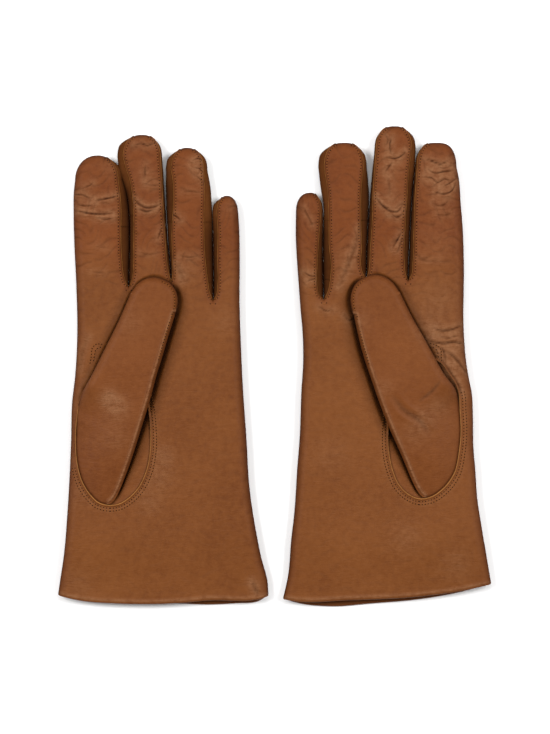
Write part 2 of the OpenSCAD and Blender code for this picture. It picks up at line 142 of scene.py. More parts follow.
rightGlove = {
    "side": "right", "mirror": 1,
    "thumbSide": [(-120.5, 59.8), (-105, 57.2), (-89, 54.5), (-73, 52.1), (-57, 51), (-47, 50.1), (-27, 49.7),
                  (-15, 49.1), (-8, 47.7), (3, 45.9), (18, 44.7), (58, 44.7), (76, 44.1), (91, 42.9),
                  (104, 41.9), (110.5, 40.6)],
    "littleSide": [(-128.7, -55.7), (-117, -53.1), (-97, -51.3), (-81, -49.5), (-57, -47.9), (-39, -46.5),
                   (-14, -45.6), (2, -44.6), (18, -44.9), (32, -46.1), (43, -46.9), (58, -48), (72, -48.7),
                   (86, -48.6)],
    "palmCuff": [(-56, -128.6), (-47, -129.9), (-20, -129.2), (19, -127.2), (43, -124), (60, -120.4)],
    "backCuff": [(-56, -128.6), (-47, -131.2), (-30, -132.9), (-5, -131.2), (19, -129.1), (43, -125),
                 (60, -120.4)],
    "forks": [(13.5, 47), (-9.4, 48), (-33.1, 36.5)],
    "cuffSplits": [20, -7, -33],
    "index": {"tip": (29.2, 124), "round": 13.5, "power": 3.2,
              "seamLittle": [(47, 13.5), (50, 15.4), (58, 16.4), (76, 16.9), (95, 17.6), (110.5, 18.8)],
              "outLittle": [(47, 13.5), (58, 14.2), (76, 14.9), (95, 16.2), (110.5, 17.6)]},
    "middle": {"tip": (6.3, 133.2), "round": 13, "power": 2.8,
               "seamThumb": [(47, 13.5), (50, 12.2), (58, 11.3), (76, 11.7), (93, 12.8), (108, 13.7),
                             (120, 15.4)],
               "outThumb": [(47, 13.5), (58, 13.9), (76, 14.6), (95, 15.9), (110, 17.3), (120, 17.9)],
               "seamLittle": [(48, -9.4), (52, -8.2), (65, -7.2), (80, -6.2), (95, -5.8), (110, -4.8),
                              (120, -4)],
               "outLittle": [(48, -9.4), (65, -9.1), (80, -8.3), (95, -7.3), (108, -6.2), (120, -5)]},
    "ring": {"tip": (-21.8, 124), "round": 13.5, "power": 3,
             "seamThumb": [(48, -9.4), (51, -11.6), (55, -12.7), (65, -12.4), (80, -12.7), (98, -12.6),
                           (110.5, -11.3)],
             "outThumb": [(48, -9.4), (65, -9.3), (80, -8.6), (95, -8), (102, -8.4), (110.5, -9.3)],
             "seamLittle": [(36.5, -33.1), (40, -31.2), (50, -29.2), (56, -28.9), (65, -29.9), (80, -30.2),
                            (98, -31), (106, -32.2), (110.5, -32.8)],
             "outLittle": [(36.5, -33.1), (50, -33.4), (65, -33.5), (80, -33.3), (90, -33.4), (98, -34.7),
                           (110.5, -36.2)]},
    "little": {"tip": (-40.6, 96.3), "round": 10.3, "power": 2.4,
               "seamThumb": [(36.5, -33.1), (39, -35.5), (46, -37.1), (54, -37.1), (65, -36.5), (86, -34.9)],
               "outThumb": [(36.5, -33.1), (50, -33.6), (65, -33.7), (80, -33.6), (86, -33.7)]},
    "thumb": {
        "outer": [(-18.5, -51), (-11, -49.8), (-3.5, -46.5), (4.3, -39.3), (10.5, -30), (16, -17.5),
                  (18.9, -8.5), (19.7, -1.5), (17.3, 9), (16.1, 21.5), (15.2, 32), (13.9, 44), (13.2, 57.5)],
        "fold": [(-20.7, -49.3), (-21.6, -46.8), (-22.2, -43), (-22.4, -36), (-22.2, -28), (-22.2, -18),
                 (-22.3, -8), (-22.1, -1), (-21.6, 9), (-20.6, 21.5), (-19.6, 33), (-18, 44), (-15.3, 57.5)],
        "tip": (-0.9, 74.9), "round": 17.3, "power": 2.3},
    "oval": [(-73.4, 20), (-72.4, 26), (-68, 32.6), (-60, 38.6), (-47, 41.7), (-35, 42.6), (-25, 42.1),
             (-16.5, 41.6), (-10, 39.5), (-4, 35.5), (1.5, 31.5), (4.5, 25), (3, 17.5), (-2, 12.5),
             (-10, 7.2), (-20, 4.4), (-35, 2.7), (-47.5, 2.9), (-57, 4.8),
             (-65.8, 8.6), (-70.8, 13.5)],
    "stitchTop": -15,
    "quirk": [[(12.4, 26), (11.6, 29), (9.6, 31.4), (6.5, 31.8), (3, 31.8)],
              [(10.2, 27.4), (8.4, 29.6), (5, 30.2)]],
    "sheen": [(-30, 21, 6, 0.7), (-22, 30, 6, 0.4), (-38, 16, 8, 0.3), (-12, 0, 5, 0.35), (20, 24, 8, 0.4),
              (10, 38, 8, 0.5), (0, 37.4, 4.5, 1.0), (35, 30, 12, 0.35), (-95, 12, 9, 0.3),
              (-50, -30, 10, 0.2), (25, -14, 6, 0.35), (104, 28, 9, 0.4), (90, 6, 8, 0.4),
              (110, 4, 8, 0.4), (60, -20, 8, 0.3), (50, -40, 6, 0.4),
              (-110, 40, 9, 0.3), (70, 30, 12, 0.2)],
    "thumbSoft": [(-42, 30, 15, 0.4), (-10, 5, 9, 0.5), (12, -9, 9, 0.3), (-28, 26, 9, 0.6)],
    "thumbCreases": [([(-16.6, 4.6), (-23.9, 10.3), (-29.6, 18.5), (-37, 25)], 0.9, 1.7),
                     ([(-19, 19.5), (-14, 26), (-8, 31)], 0.35, 1.2)],
    "creases": [
        ([(114.9, 22.9), (113.5, 27.1), (111.8, 31), (113.9, 36.3)], 0.4, 0.5),
        ([(108.9, 24.3), (106.8, 28.5), (107.5, 32.8), (108.2, 38.4)], 0.45, 0.5),
        ([(104.6, 22), (104, 26.5), (101.6, 30), (103.4, 33.5), (102.6, 38)], 0.4, 0.45),
        ([(110.8, 29.5), (109.4, 33), (110.6, 37)], 0.3, 0.45),
        ([(99.4, 33), (101.2, 36.4), (103.8, 40)], 0.35, 0.5),
        ([(96.2, 28.5), (95.2, 33.5), (97, 37.7), (101.2, 39.8)], 0.45, 0.55),
        ([(90.4, 27), (88.8, 30), (89.4, 33.5), (92, 36)], 0.3, 0.7),
        ([(84, 29), (83.4, 34), (84.6, 37)], 0.2, 0.7),
        ([(93.6, -4.6), (88.8, -0.6), (85.6, 4), (85.4, 7.2), (89, 10.4)], 0.75, 0.6),
        ([(84, 4.4), (82.4, 7), (84, 10.6)], 0.4, 0.6),
        ([(115.4, 2.4), (114.9, 6.4), (117.4, 11), (118.6, 12)], 0.6, 0.55),
        ([(112.6, 4.6), (110, 2.6), (107.6, 1)], 0.35, 0.6), ([(126.6, 4), (122, 3.4), (117.6, 4)], 0.4, 0.6),
        ([(104, 2.2), (99, 3.2), (94, 3)], 0.3, 0.9), ([(74, 10), (70, 7.6), (65.4, 5)], 0.4, 0.6),
        ([(70.6, 10.4), (67, 9), (63, 7.4)], 0.3, 0.6), ([(128, 1), (125.4, 2.4), (122.4, 1.4)], 0.3, 0.6),
        ([(77, -13.6), (70, -14.6), (60, -18), (50, -22), (44, -25)], 0.55, 1.3),
        ([(88, -44.6), (83, -42), (78, -39.4)], 0.35, 0.6),
        ([(52, -44.4), (50, -41), (49.4, -37.6)], 0.4, 0.5),
        ([(46.5, -43), (47.8, -40), (48, -37.4)], 0.3, 0.5), ([(60, 18), (58, 24), (58.6, 30)], 0.2, 0.8),
        ([(20.6, 27.6), (19.6, 33), (20.2, 38), (22.4, 43)], 0.6, 0.7),
        ([(13.8, 23.5), (12.8, 29), (12.4, 34), (13.2, 38), (12, 44.4)], 1.0, 0.7),
        ([(16.6, 30), (15.6, 36), (17, 41)], 0.3, 0.6),
        ([(8.6, 33), (6, 37.6), (2.6, 41), (-4.6, 46.4)], 0.95, 0.8),
        ([(3.4, 31.8), (-3.6, 36.6), (-9.6, 40.6), (-16, 43)], 0.6, 0.7),
        ([(10.4, 31.8), (7.4, 33.4), (3, 34)], 0.5, 0.6), ([(33, -36), (30.6, -32), (31, -28)], 0.35, 0.6),
        ([(28, -22), (25.4, -18.6), (26, -16)], 0.35, 0.7)],
    "soft": [(-15, -22, 22, 0.5), (20, -30, 15, 0.35), (-70, -5, 26, -0.5), (-90, 25, 20, 0.4),
             (-55, -32, 18, 0.4), (62, 31, 12, 0.4), (78, 3, 8, 0.3), (90, -21, 9, 0.4),
             (-104, -28, 22, -0.4), (30, 28, 14, -0.35)],
}

hand = {
    "high": 9.9, "highest": 10.35, "low": 0.25,    # palm and back
    "cuffHigh": 7.6, "cuffFrom": -92, "cuffLine": -128.0,    # the palm sinks a little towards the cuff
    "onEdge": 0.16,                      # points nearer than this count as on the edge
    "foldAt": 5.0, "foldRound": 5.2,     # plain folded sides
    "seamHigh": 8.55, "seamLow": 1.35, "seamRound": 3.2,
    "tipAt": 5.1, "tipRound": 7.0,
    "columns": [52, 42, 42, 30], "rows": 210, "fingerRows": 140, "tipRows": 20,
    "webDeep": 0.22, "webShift": {"left": 0.4, "right": 2.6},    # fine wrinkles
}
seam = {"edge": 0.75, "lean": 0.35, "inset": 1.25, "groove": 0.14}


def smooth(points, at):
    # cubic curve through (key, value) points, flat beyond its ends
    keys, values = np.array(points, float).T
    slope = np.gradient(values, keys)
    at = np.clip(at, keys[0], keys[-1])
    k = np.clip(np.searchsorted(keys, at) - 1, 0, len(keys) - 2)
    span = keys[k + 1] - keys[k]
    t = (at - keys[k]) / span
    return ((2 * t**3 - 3 * t**2 + 1) * values[k] + (t**3 - 2 * t**2 + t) * span * slope[k]
            + (3 * t**2 - 2 * t**3) * values[k + 1] + (t**3 - t**2) * span * slope[k + 1])


def ease(low, high, at):
    t = np.clip((at - low) / (high - low), 0, 1)
    return t * t * (3 - 2 * t)


def closedCurve(points, step):
    # evenly spaced points of a smooth closed curve through (v, u) points, as (u, v)
    p = np.array(points + points[:3], float)
    p = np.vstack([p[len(points) - 3:len(points)], p])
    keys = np.concatenate([[0], np.cumsum(np.hypot(*np.diff(p, axis=0).T))])
    start, end = keys[3], keys[3 + len(points)]
    at = np.linspace(start, end, int((end - start) / step), endpoint=False)
    return np.stack([smooth(list(zip(keys, p[:, 1])), at), smooth(list(zip(keys, p[:, 0])), at)], 1)


def openCurve(points, step):
    p = np.array(points, float)
    keys = np.concatenate([[0], np.cumsum(np.hypot(*np.diff(p, axis=0).T))])
    at = np.linspace(0, keys[-1], max(4, int(keys[-1] / step)))
    return np.stack([smooth(list(zip(keys, p[:, 1])), at), smooth(list(zip(keys, p[:, 0])), at)], 1)


def treeOf(points):
    tree = KDTree(len(points))
    for i, p in enumerate(points):
        tree.insert((p[0], p[1], 0), i)
    tree.balance()
    return tree


def nearest(tree, points):
    found = [tree.find((p[0], p[1], 0))[1:] for p in points]
    return np.array([f[0] for f in found], int), np.array([f[1] for f in found])


def edgeAt(glove, finger, side):
    # the front panel's edge on one side of a finger's strip, from the cuff to the start of its tip
    if finger == 0 and side == "Thumb":
        return lambda v: smooth(glove["thumbSide"], v)
    if finger == 3 and side == "Little":
        return lambda v: smooth(glove["littleSide"], v)
    fork = finger - 1 if side == "Thumb" else finger
    forkU, forkV = glove["forks"][fork]
    cuffU = glove["cuffSplits"][fork]
    line = glove[fingerNames[finger]]["seam" + side]
    slant = (cuffU - forkU) / (forkV + 130)    # the palm's cut runs on from the fork down to the cuff
    return lambda v: np.where(v < forkV, forkU + slant * (forkV - v), smooth(line, v))


def isPlain(finger, side):
    return (finger == 0 and side == "Thumb") or (finger == 3 and side == "Little")


def tipStart(shape):
    return shape["tip"][1] - shape["round"]


def tipHeight(shape, share):
    # how far the rounded end reaches above its start, share being -1 to 1 across it
    return shape["round"] * np.sqrt(np.clip(1 - np.abs(share) ** shape["power"], 0, 1))


def roundedEnd(shape, top, start, count):
    # rows of points from a strip's last row, at its start, out to its rounded end
    tipU = shape["tip"][0]
    half = np.where(top > tipU, top[0] - tipU, tipU - top[-1])
    i = 1 - (1 - np.linspace(0, 1, count + 1)[1:, None]) ** 1.6
    return np.stack([np.repeat(top[None], count, 0), start + tipHeight(shape, (top - tipU) / half) * i], 2)


def strip(glove, finger, cuff):
    # the grid of one finger's strip of leather, from the cuff to the fingertip
    shape = glove[fingerNames[finger]]
    t = np.linspace(0, 1, hand["columns"][finger] + 1)
    t = 0.45 * t + 0.55 * (0.5 - 0.5 * np.cos(math.pi * t))
    edgeA, edgeB = edgeAt(glove, finger, "Thumb"), edgeAt(glove, finger, "Little")
    cuffU = edgeA(hand["cuffLine"]) * (1 - t) + edgeB(hand["cuffLine"]) * t
    cuffV = smooth(cuff, cuffU)
    rootA = glove["forks"][max(finger - 1, 0)][1]
    rootB = glove["forks"][min(finger, 2)][1]
    rootV = rootA * (1 - t) + rootB * t
    start = tipStart(shape)
    k = np.linspace(0, 1, hand["rows"] + 1)[:, None]
    j = np.linspace(0, 1, hand["fingerRows"] + 1)[1:, None]
    v = np.vstack([cuffV + (rootV - cuffV) * k, rootV + (start - rootV) * j])
    u = edgeA(v) * (1 - t) + edgeB(v) * t
    return np.vstack([np.stack([u, v], 2), roundedEnd(shape, u[-1], start, hand["tipRows"])])


def tipCurve(glove, finger):
    # points around a fingertip from its thumb side to its little side
    shape = glove[fingerNames[finger]]
    start = tipStart(shape)
    share = np.sin(np.linspace(1, -1, 281) * math.pi / 2)
    a = edgeAt(glove, finger, "Thumb")(start) - shape["tip"][0]
    b = shape["tip"][0] - edgeAt(glove, finger, "Little")(start)
    u = shape["tip"][0] + share * np.where(share > 0, a, b)
    return np.stack([u, start + tipHeight(shape, share)], 1), share


def gloveEdges(glove):
    # every edge of the front panels, with the height it ends at, front and back, and how wide it rounds off
    points, front, back, width = [], [], [], []

    def add(p, f, b, w):
        points.append(p)
        front.append(np.broadcast_to(f, len(p)))
        back.append(np.broadcast_to(b, len(p)))
        width.append(np.broadcast_to(w, len(p)))

    for finger in range(4):
        shape = glove[fingerNames[finger]]
        start = tipStart(shape)
        for side in ("Thumb", "Little"):
            plain = isPlain(finger, side)
            fork = 0 if plain else glove["forks"][finger - 1 if side == "Thumb" else finger][1]
            v = np.arange(-140 if plain else fork, start, 0.25)
            p = np.stack([edgeAt(glove, finger, side)(v), v], 1)
            if plain:
                add(p, hand["foldAt"], hand["foldAt"], hand["foldRound"])
            else:
                add(p, hand["seamHigh"], hand["seamLow"], hand["seamRound"])
        p, share = tipCurve(glove, finger)
        middle = 1 - ease(0.45, 1.0, np.abs(share))
        plainHere = np.where(share > 0, isPlain(finger, "Thumb"), isPlain(finger, "Little"))
        sideFront = np.where(plainHere, hand["foldAt"], hand["seamHigh"])
        sideBack = np.where(plainHere, hand["foldAt"], hand["seamLow"])
        sideRound = np.where(plainHere, hand["foldRound"], hand["seamRound"])
        add(p, sideFront + (hand["tipAt"] - sideFront) * middle,
            sideBack + (hand["tipAt"] - sideBack) * middle,
            sideRound + (hand["tipRound"] - sideRound) * middle)
    points = np.vstack(points)
    return {"points": points, "front": np.concatenate(front), "back": np.concatenate(back),
            "width": np.concatenate(width), "tree": treeOf(points)}


def spots(places, p):
    # the sum of soft round spots at points (u, v)
    total = np.zeros(len(p))
    for v, u, reach, amount in places:
        total += amount * np.exp(-((p[:, 0] - u) ** 2 + (p[:, 1] - v) ** 2) / reach**2)
    return total


def creaseAway(line, p):
    # distance from points to a crease's line, and how strong the crease is there, fading out to its ends
    gap = np.linalg.norm(p[:, None] - line[None], axis=2)
    return gap.min(1), np.sin(np.pi * (gap.argmin(1) + 0.5) / len(line)) ** 0.6


def creaseField(glove, p):
    # how far creases sink and raise the leather, the painted shade in them, and how pale the leather is
    # around them; the sheen spots add painted sheen
    sink, dark, worn = np.zeros(len(p)), np.zeros(len(p)), np.zeros(len(p))
    for path, deep, wide in glove["creases"]:
        line = openCurve(path, 0.5)
        near = np.where((p > line.min(0) - 6).all(1) & (p < line.max(0) + 6).all(1))[0]
        if not len(near):
            continue
        d, fade = creaseAway(line, p[near])
        raised = 0.45 * np.exp(-((d - 1.9 * wide) / (1.1 * wide)) ** 2)
        sink[near] += deep * fade * (raised - np.exp(-(d / wide) ** 2))
        worn[near] += min(1.0, deep * 1.6) * np.exp(-(d / 2.8) ** 2)
        strength = min(1.0, deep * 2.0) * min(1.0, 0.5 / wide**1.5)    # wide creases are paler
        # painted shade along each crease
        dark[near] += strength * fade * np.exp(-(d / (0.75 * wide)) ** 2)
    return sink, dark, worn + spots(glove["sheen"], p)


def wrinkleWeb(p, shift):
    # a broken web of shallow wrinkles, most of them running across the fingers, 0 to 1
    u, v = p.T
    sway = 1.1 * np.sin(0.21 * u + shift) + 0.8 * np.sin(0.17 * v - 0.33 * u + 2 * shift)
    sway = sway + 0.5 * np.sin(0.47 * u + 0.23 * v - shift)
    level, slant = np.sin(0.55 * v + sway), np.sin(0.34 * v + 0.5 * u + 1.6 * sway)
    here = np.sin(0.31 * u + 0.13 * v + shift) * np.sin(0.19 * v - 0.11 * u + 3 * shift)
    return np.maximum(np.exp(-(level / 0.34) ** 2) * ease(-0.25, 0.5, here),
                      0.8 * np.exp(-(slant / 0.36) ** 2) * ease(-0.15, 0.6, -here))


def roundOff(d, width):
    x = np.clip(d / width, 0, 1)
    return 1 - np.sqrt(np.clip(1 - (1 - x) ** 2, 0, 1))


def frontHeight(glove, p):
    # height of the palm side at (u, v), and the painted shade, the painted sheen with rubbed wear, and the
    # redness of the leather there
    at, d = nearest(glove["edges"]["tree"], p)
    d = np.where(d < hand["onEdge"], 0.0, d)
    top = hand["high"] - (hand["high"] - hand["cuffHigh"]) * ease(hand["cuffFrom"], hand["cuffLine"], p[:, 1])
    top = np.minimum(top + spots(glove["soft"], p), hand["highest"])
    edge = glove["edges"]["front"][at]
    z = top - (top - edge) * roundOff(d, glove["edges"]["width"][at])
    sink, dark, worn = creaseField(glove, p)
    # fine wrinkles sink the leather, with painted shade in them and a little paleness
    web = wrinkleWeb(p, hand["webShift"][glove["side"]]) * (0.3 + 0.7 * ease(28, 62, p[:, 1]))
    sink, dark, worn = sink - hand["webDeep"] * web, dark + 0.28 * web, worn + 0.15 * web
    z = z + sink * np.clip(d / 1.2, 0, 1)
    seamy = edge > hand["foldAt"] + 1
    z = z - seam["groove"] * np.where(seamy, np.exp(-((d - seam["inset"]) / 0.45) ** 2), 0)
    # painted shade along the edges and seams, where the leather turns away from the light
    dark = dark + np.where(seamy, 0.3 * np.exp(-d / 0.7), 0.62 * np.exp(-d / 1.3)) + 0.12 * np.exp(-d / 3)
    # a paler line along the cuff's hem
    hemAway = p[:, 1] - smooth(glove["palmCuff"], p[:, 0])
    worn = worn + 0.8 * np.exp(-((hemAway - 0.9) / 0.8) ** 2)
    pressed = glove["thumbAway"](p)
    at, _ = nearest(glove["thumbTree"], p)
    deep, reach = glove["thumbPress"][at].T
    press = deep * ease(1.0, 0.0, (pressed + 0.4) / (reach + 0.4))
    z = z - press * np.clip(d / 6, 0, 1) - 1.3 * ease(0.2, 1.2, -pressed) * np.clip(d / 1.5, 0, 1)
    # painted shadow of the thumb: a dark band on the palm along its outline
    band = ease(1.0, 0.0, (pressed + 0.2) / (0.75 * reach + 0.2)) * ease(-4.5, -1.5, pressed)
    dark = dark + thumbShape["shade"] * (deep / 3.2) * band
    away = glove["ovalAway"](p)
    z = z - 0.75 * ease(0.2, -0.6, away) * ease(-60, 30, -p[:, 1] + 30)
    # painted shade in the groove along the oval's seam, where the palm sinks under the lip, and a paler band
    # just outside it
    dark = dark + 0.5 * np.exp(-(away / 0.7) ** 2)
    worn = worn + 0.25 * np.exp(-((away - 2.5) / 2.0) ** 2)
    # redder fingers, and painted shade that darkens and reddens the leather near the edges
    ruddy = ease(42, 80, p[:, 1]) + 0.8 * np.exp(-d / 2.2)
    return z, (dark, worn, ruddy)


def backHeight(glove, p):
    at, d = nearest(glove["edges"]["tree"], p)
    d = np.where(d < hand["onEdge"], 0.0, d)
    edge = glove["edges"]["back"][at]
    z = hand["low"] + (edge - hand["low"]) * roundOff(d, glove["edges"]["width"][at])
    for u in glove["tucks"]:
        away = np.abs(p[:, 0] - u)
        length = ease(-34, -24, p[:, 1]) * ease(36, 26, p[:, 1])
        z = z + length * (0.6 * np.exp(-((away - 1.5) / 0.8) ** 2) - 0.15 * np.exp(-(away / 0.6) ** 2))
    # painted shade along the back's edges, a little paleness everywhere, and redder fingers
    return z, (0.6 * np.exp(-d / 1.0), np.full(len(p), 0.1), ease(42, 80, p[:, 1]))


def outwardOf(curve):
    # outward directions along a closed curve, and its signed area
    ahead = np.roll(curve, -1, 0) - np.roll(curve, 1, 0)
    area = np.sum(curve[:, 0] * np.roll(curve[:, 1], -1) - curve[:, 1] * np.roll(curve[:, 0], -1))
    return np.stack([ahead[:, 1], -ahead[:, 0]], 1) * np.sign(area), area


def signedAway(curve):
    # distance to a closed curve, negative inside it
    tree = treeOf(curve)
    outward, _ = outwardOf(curve)

    def away(p):
        far = 30.0
        low, high = curve.min(0) - far, curve.max(0) + far
        result = np.full(len(p), far)
        near = np.where(((p > low) & (p < high)).all(1))[0]
        at, d = nearest(tree, p[near])
        side = np.sum((p[near] - curve[at]) * outward[at], 1)
        result[near] = np.where(side < 0, -d, d)
        return result
    return away


def gridFaces(rows, columns, offset=0, flip=False):
    i = np.arange((rows - 1) * columns).reshape(rows - 1, columns)[:, :-1].ravel() + offset
    quads = np.stack([i, i + 1, i + columns + 1, i + columns], 1)
    return quads[:, ::-1] if flip else quads


lookNames = ("dark", "worn", "ruddy")    # painted shade; painted sheen and rubbed places; redder fingers and painted shade near the edges


def newPart(points, faces, material=0, dark=None, worn=None, ruddy=None):
    points = np.asarray(points, float).reshape(-1, 3)
    looks = [np.zeros(len(points)) if look is None else np.asarray(look, float).ravel()
             for look in (dark, worn, ruddy)]
    return {"points": points, "faces": faces, "material": np.full(len(faces), material), "dark": looks[0],
            "worn": looks[1], "ruddy": looks[2], "tag": np.zeros(len(faces), int)}


def joined(parts):
    total, out = 0, {key: [] for key in ("points", "faces", "material", *lookNames, "tag")}
    for part in parts:
        out["points"].append(part["points"])
        out["faces"].append(part["faces"] + total)
        for key in ("material", *lookNames, "tag"):
            out[key].append(part[key])
        total += len(part["points"])
    return {key: np.concatenate(value) for key, value in out.items()}


def welded(part):
    _, first, index = np.unique(np.round(part["points"], 3), axis=0, return_index=True, return_inverse=True)
    for key in ("points", *lookNames):
        part[key] = part[key][first]
    part["faces"] = index.ravel()[part["faces"]]
    return part


def normalsOf(points, faces):
    a, b = points[faces[:, 2]] - points[faces[:, 0]], points[faces[:, 3]] - points[faces[:, 1]]
    normal = np.cross(a, b)
    out = np.zeros_like(points)
    for corner in range(4):
        np.add.at(out, faces[:, corner], normal)
    return out / np.maximum(np.linalg.norm(out, axis=1, keepdims=True), 1e-9)


def finish(name, glove, parts, materials, body, nodes=(), bend=None):
    # turns parts into one piece in metres, in the row's frame; each part keeps its own normals
    normals = np.vstack([part["normals"] if "normals" in part else normalsOf(part["points"], part["faces"])
                         for part in parts])
    whole = joined(parts)
    used = np.unique(whole["faces"])
    index = np.full(len(whole["points"]), -1)
    index[used] = np.arange(len(used))
    points = whole["points"][used] * [glove["mirror"], 1, 1] / 1000 + [glove["at"], 0, 0]
    normals = normals[used] * [glove["mirror"], 1, 1]
    faces = index[whole["faces"]]
    if glove["mirror"] < 0:
        faces = faces[:, ::-1]
    rows = [[f for n, f in enumerate(face) if f != face[n - 1]] for face in faces.tolist()]
    good = [n for n, row in enumerate(rows) if len(set(row)) == len(row) and len(row) > 2]
    mesh = bpy.data.meshes.new(name)
    mesh.from_pydata(points.tolist(), [], [rows[n] for n in good])
    mesh.polygons.foreach_set("material_index", whole["material"][good].astype(np.int32))
    mesh.polygons.foreach_set("use_smooth", np.ones(len(good), bool))
    for look in lookNames:
        layer = mesh.attributes.new(look, "FLOAT", "POINT")
        layer.data.foreach_set("value", np.clip(whole[look][used], 0, 1).astype(np.float32))
    for material in materials:
        mesh.materials.append(material)
    mesh.update()
    mesh.normals_split_custom_set_from_vertices(normals.tolist())
    piece = bpy.data.objects.new(name, mesh)
    bpy.context.collection.objects.link(piece)
    if bend:
        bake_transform(piece)
    else:
        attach(piece, body)
    if nodes:
        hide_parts(*nodes)
    return piece


def nodeTree(name):
    material = bpy.data.materials.new(name)
    material.use_nodes = True
    nodes, links = material.node_tree.nodes, material.node_tree.links
    shader = nodes["Principled BSDF"]

    def add(kind, **values):
        node = nodes.new(kind)
        for key, value in values.items():
            if hasattr(node, key):
                setattr(node, key, value)
            else:
                node.inputs[key].default_value = value
        return node

    def feed(socket, source):
        # a socket takes another node's output or a plain value
        if isinstance(source, bpy.types.NodeSocket):
            links.new(source, socket)
        else:
            socket.default_value = source

    def calc(operation, *sources, **values):
        node = add("ShaderNodeMath", operation=operation, **values)
        for k, source in enumerate(sources):
            feed(node.inputs[k], source)
        return node.outputs[0]

    def blend(factor, a, b, **values):
        node = add("ShaderNodeMix", data_type="RGBA", **values)
        for key, source in (("Factor", factor), ("A", a), ("B", b)):
            feed(node.inputs[key], source)
        return node.outputs["Result"]

    def rise(height, strength, distance, under=None):
        node = add("ShaderNodeBump", Strength=strength, Distance=distance)
        feed(node.inputs["Height"], height)
        if under is not None:
            feed(node.inputs["Normal"], under)
        return node.outputs["Normal"]
    return material, {"add": add, "calc": calc, "blend": blend, "rise": rise, "feed": feed}, shader


leatherLook = {
    "tan": (0.143, 0.0445, 0.0098), "deep": (0.112, 0.0320, 0.0066), "light": (0.170, 0.0560, 0.0135),
    # the fold colour is that of painted shade; the pale colour after it is that of painted sheen and rubbed
    # wear
    "fold": (0.0200, 0.0036, 0.0012), "worn": (0.225, 0.0980, 0.0420), "roughness": 0.46, "shine": 0.10,
    # multiplier for the redder fingers and for the painted shade near the edges
    "ruddy": (0.91, 0.755, 0.63),
    "dull": 0.9,
    "grain": 0.25, "grainDeep": 0.00012, "wrinkles": 0.85, "wrinklesDeep": 0.0009,
}


def tonesOf(tools, source, stops):
    # a colour ramp over a texture, from (place, colour) stops
    ramp = tools["add"]("ShaderNodeValToRGB")
    elements = ramp.color_ramp.elements
    elements[0].position, elements[1].position = stops[0][0], stops[-1][0]
    elements[0].color, elements[1].color = stops[0][1] + (1,), stops[-1][1] + (1,)
    for place, colour in stops[1:-1]:
        elements.new(place).color = colour + (1,)
    tools["feed"](ramp.inputs["Fac"], source)
    return ramp.outputs["Color"]


def tinted(colour, share):
    return tuple(min(1, c * share) for c in colour)


def leatherMaterial(name, tint=1.0, shine=1.0, look=leatherLook):
    material, tools, shader = nodeTree(name)
    add, calc, blend, rise, feed = (tools[key] for key in ("add", "calc", "blend", "rise", "feed"))
    place = add("ShaderNodeTexCoord").outputs["Object"]
    stretch = add("ShaderNodeMapping")
    stretch.inputs["Scale"].default_value = (0.45, 1.6, 1.0)
    feed(stretch.inputs["Vector"], place)
    clouds = add("ShaderNodeTexNoise", Scale=26.0, Detail=4.0, Roughness=0.6)
    mottle = add("ShaderNodeTexNoise", Scale=310.0, Detail=5.0, Roughness=0.68)
    pores = add("ShaderNodeTexNoise", Scale=2600.0, Detail=2.0, Roughness=0.6)
    cells = add("ShaderNodeTexVoronoi", Scale=1250.0)
    lines = add("ShaderNodeTexNoise", Scale=330.0, Detail=5.0, Roughness=0.62, Distortion=1.3)
    for texture in (clouds, mottle, pores, cells):
        feed(texture.inputs["Vector"], place)
    feed(lines.inputs["Vector"], stretch.outputs["Vector"])

    # three tones of tan, clouded at two sizes
    fine = calc("MULTIPLY", mottle.outputs["Fac"], 0.52)
    tones = tonesOf(tools, calc("MULTIPLY_ADD", clouds.outputs["Fac"], 0.48, fine),
                    [(0.32, tinted(look["deep"], tint)), (0.5, tinted(look["tan"], tint)),
                     (0.70, tinted(look["light"], tint))])

    # paler where sheen is painted and where the leather is rubbed; redder on the fingers and, as painted
    # shade, near the edges; painted shade darkens creases, edges and gaps and makes them rougher
    worn, ruddy, dark = (add("ShaderNodeAttribute", attribute_name=key).outputs["Fac"]
                         for key in ("worn", "ruddy", "dark"))
    uneven = add("ShaderNodeMapRange")
    for key, value in (("From Min", 0.35), ("From Max", 0.65), ("To Min", 0.25), ("To Max", 0.85)):
        uneven.inputs[key].default_value = value
    feed(uneven.inputs["Value"], mottle.outputs["Fac"])
    redderWithEdgeShade = blend(ruddy, tones, look["ruddy"] + (1,), blend_type="MULTIPLY")
    patchy = calc("MULTIPLY", worn, uneven.outputs["Result"])
    withSheenAndWear = blend(patchy, redderWithEdgeShade, tinted(look["worn"], tint) + (1,))
    feed(shader.inputs["Base Color"], blend(dark, withSheenAndWear, look["fold"] + (1,)))
    rough = add("ShaderNodeMapRange")
    rough.inputs["To Min"].default_value = look["roughness"] - 0.08
    rough.inputs["To Max"].default_value = look["roughness"] + 0.12
    feed(rough.inputs["Value"], mottle.outputs["Fac"])
    matt = calc("MULTIPLY_ADD", dark, look["dull"], rough.outputs["Result"], use_clamp=True)
    feed(shader.inputs["Roughness"], matt)

    # pebbled grain and fine wrinkles, the wrinkles stronger where sheen is painted and the leather is rubbed
    relief = calc("MULTIPLY_ADD", pores.outputs["Fac"], 0.45, cells.outputs["Distance"])
    grain = rise(relief, look["grain"], look["grainDeep"])
    some = calc("MULTIPLY_ADD", worn, 1.0, 0.3, use_clamp=True)
    height = calc("MULTIPLY", lines.outputs["Fac"], some)
    feed(shader.inputs["Normal"], rise(height, look["wrinkles"], look["wrinklesDeep"], grain))
    shader.inputs["Specular IOR Level"].default_value = look["shine"] * shine
    return material


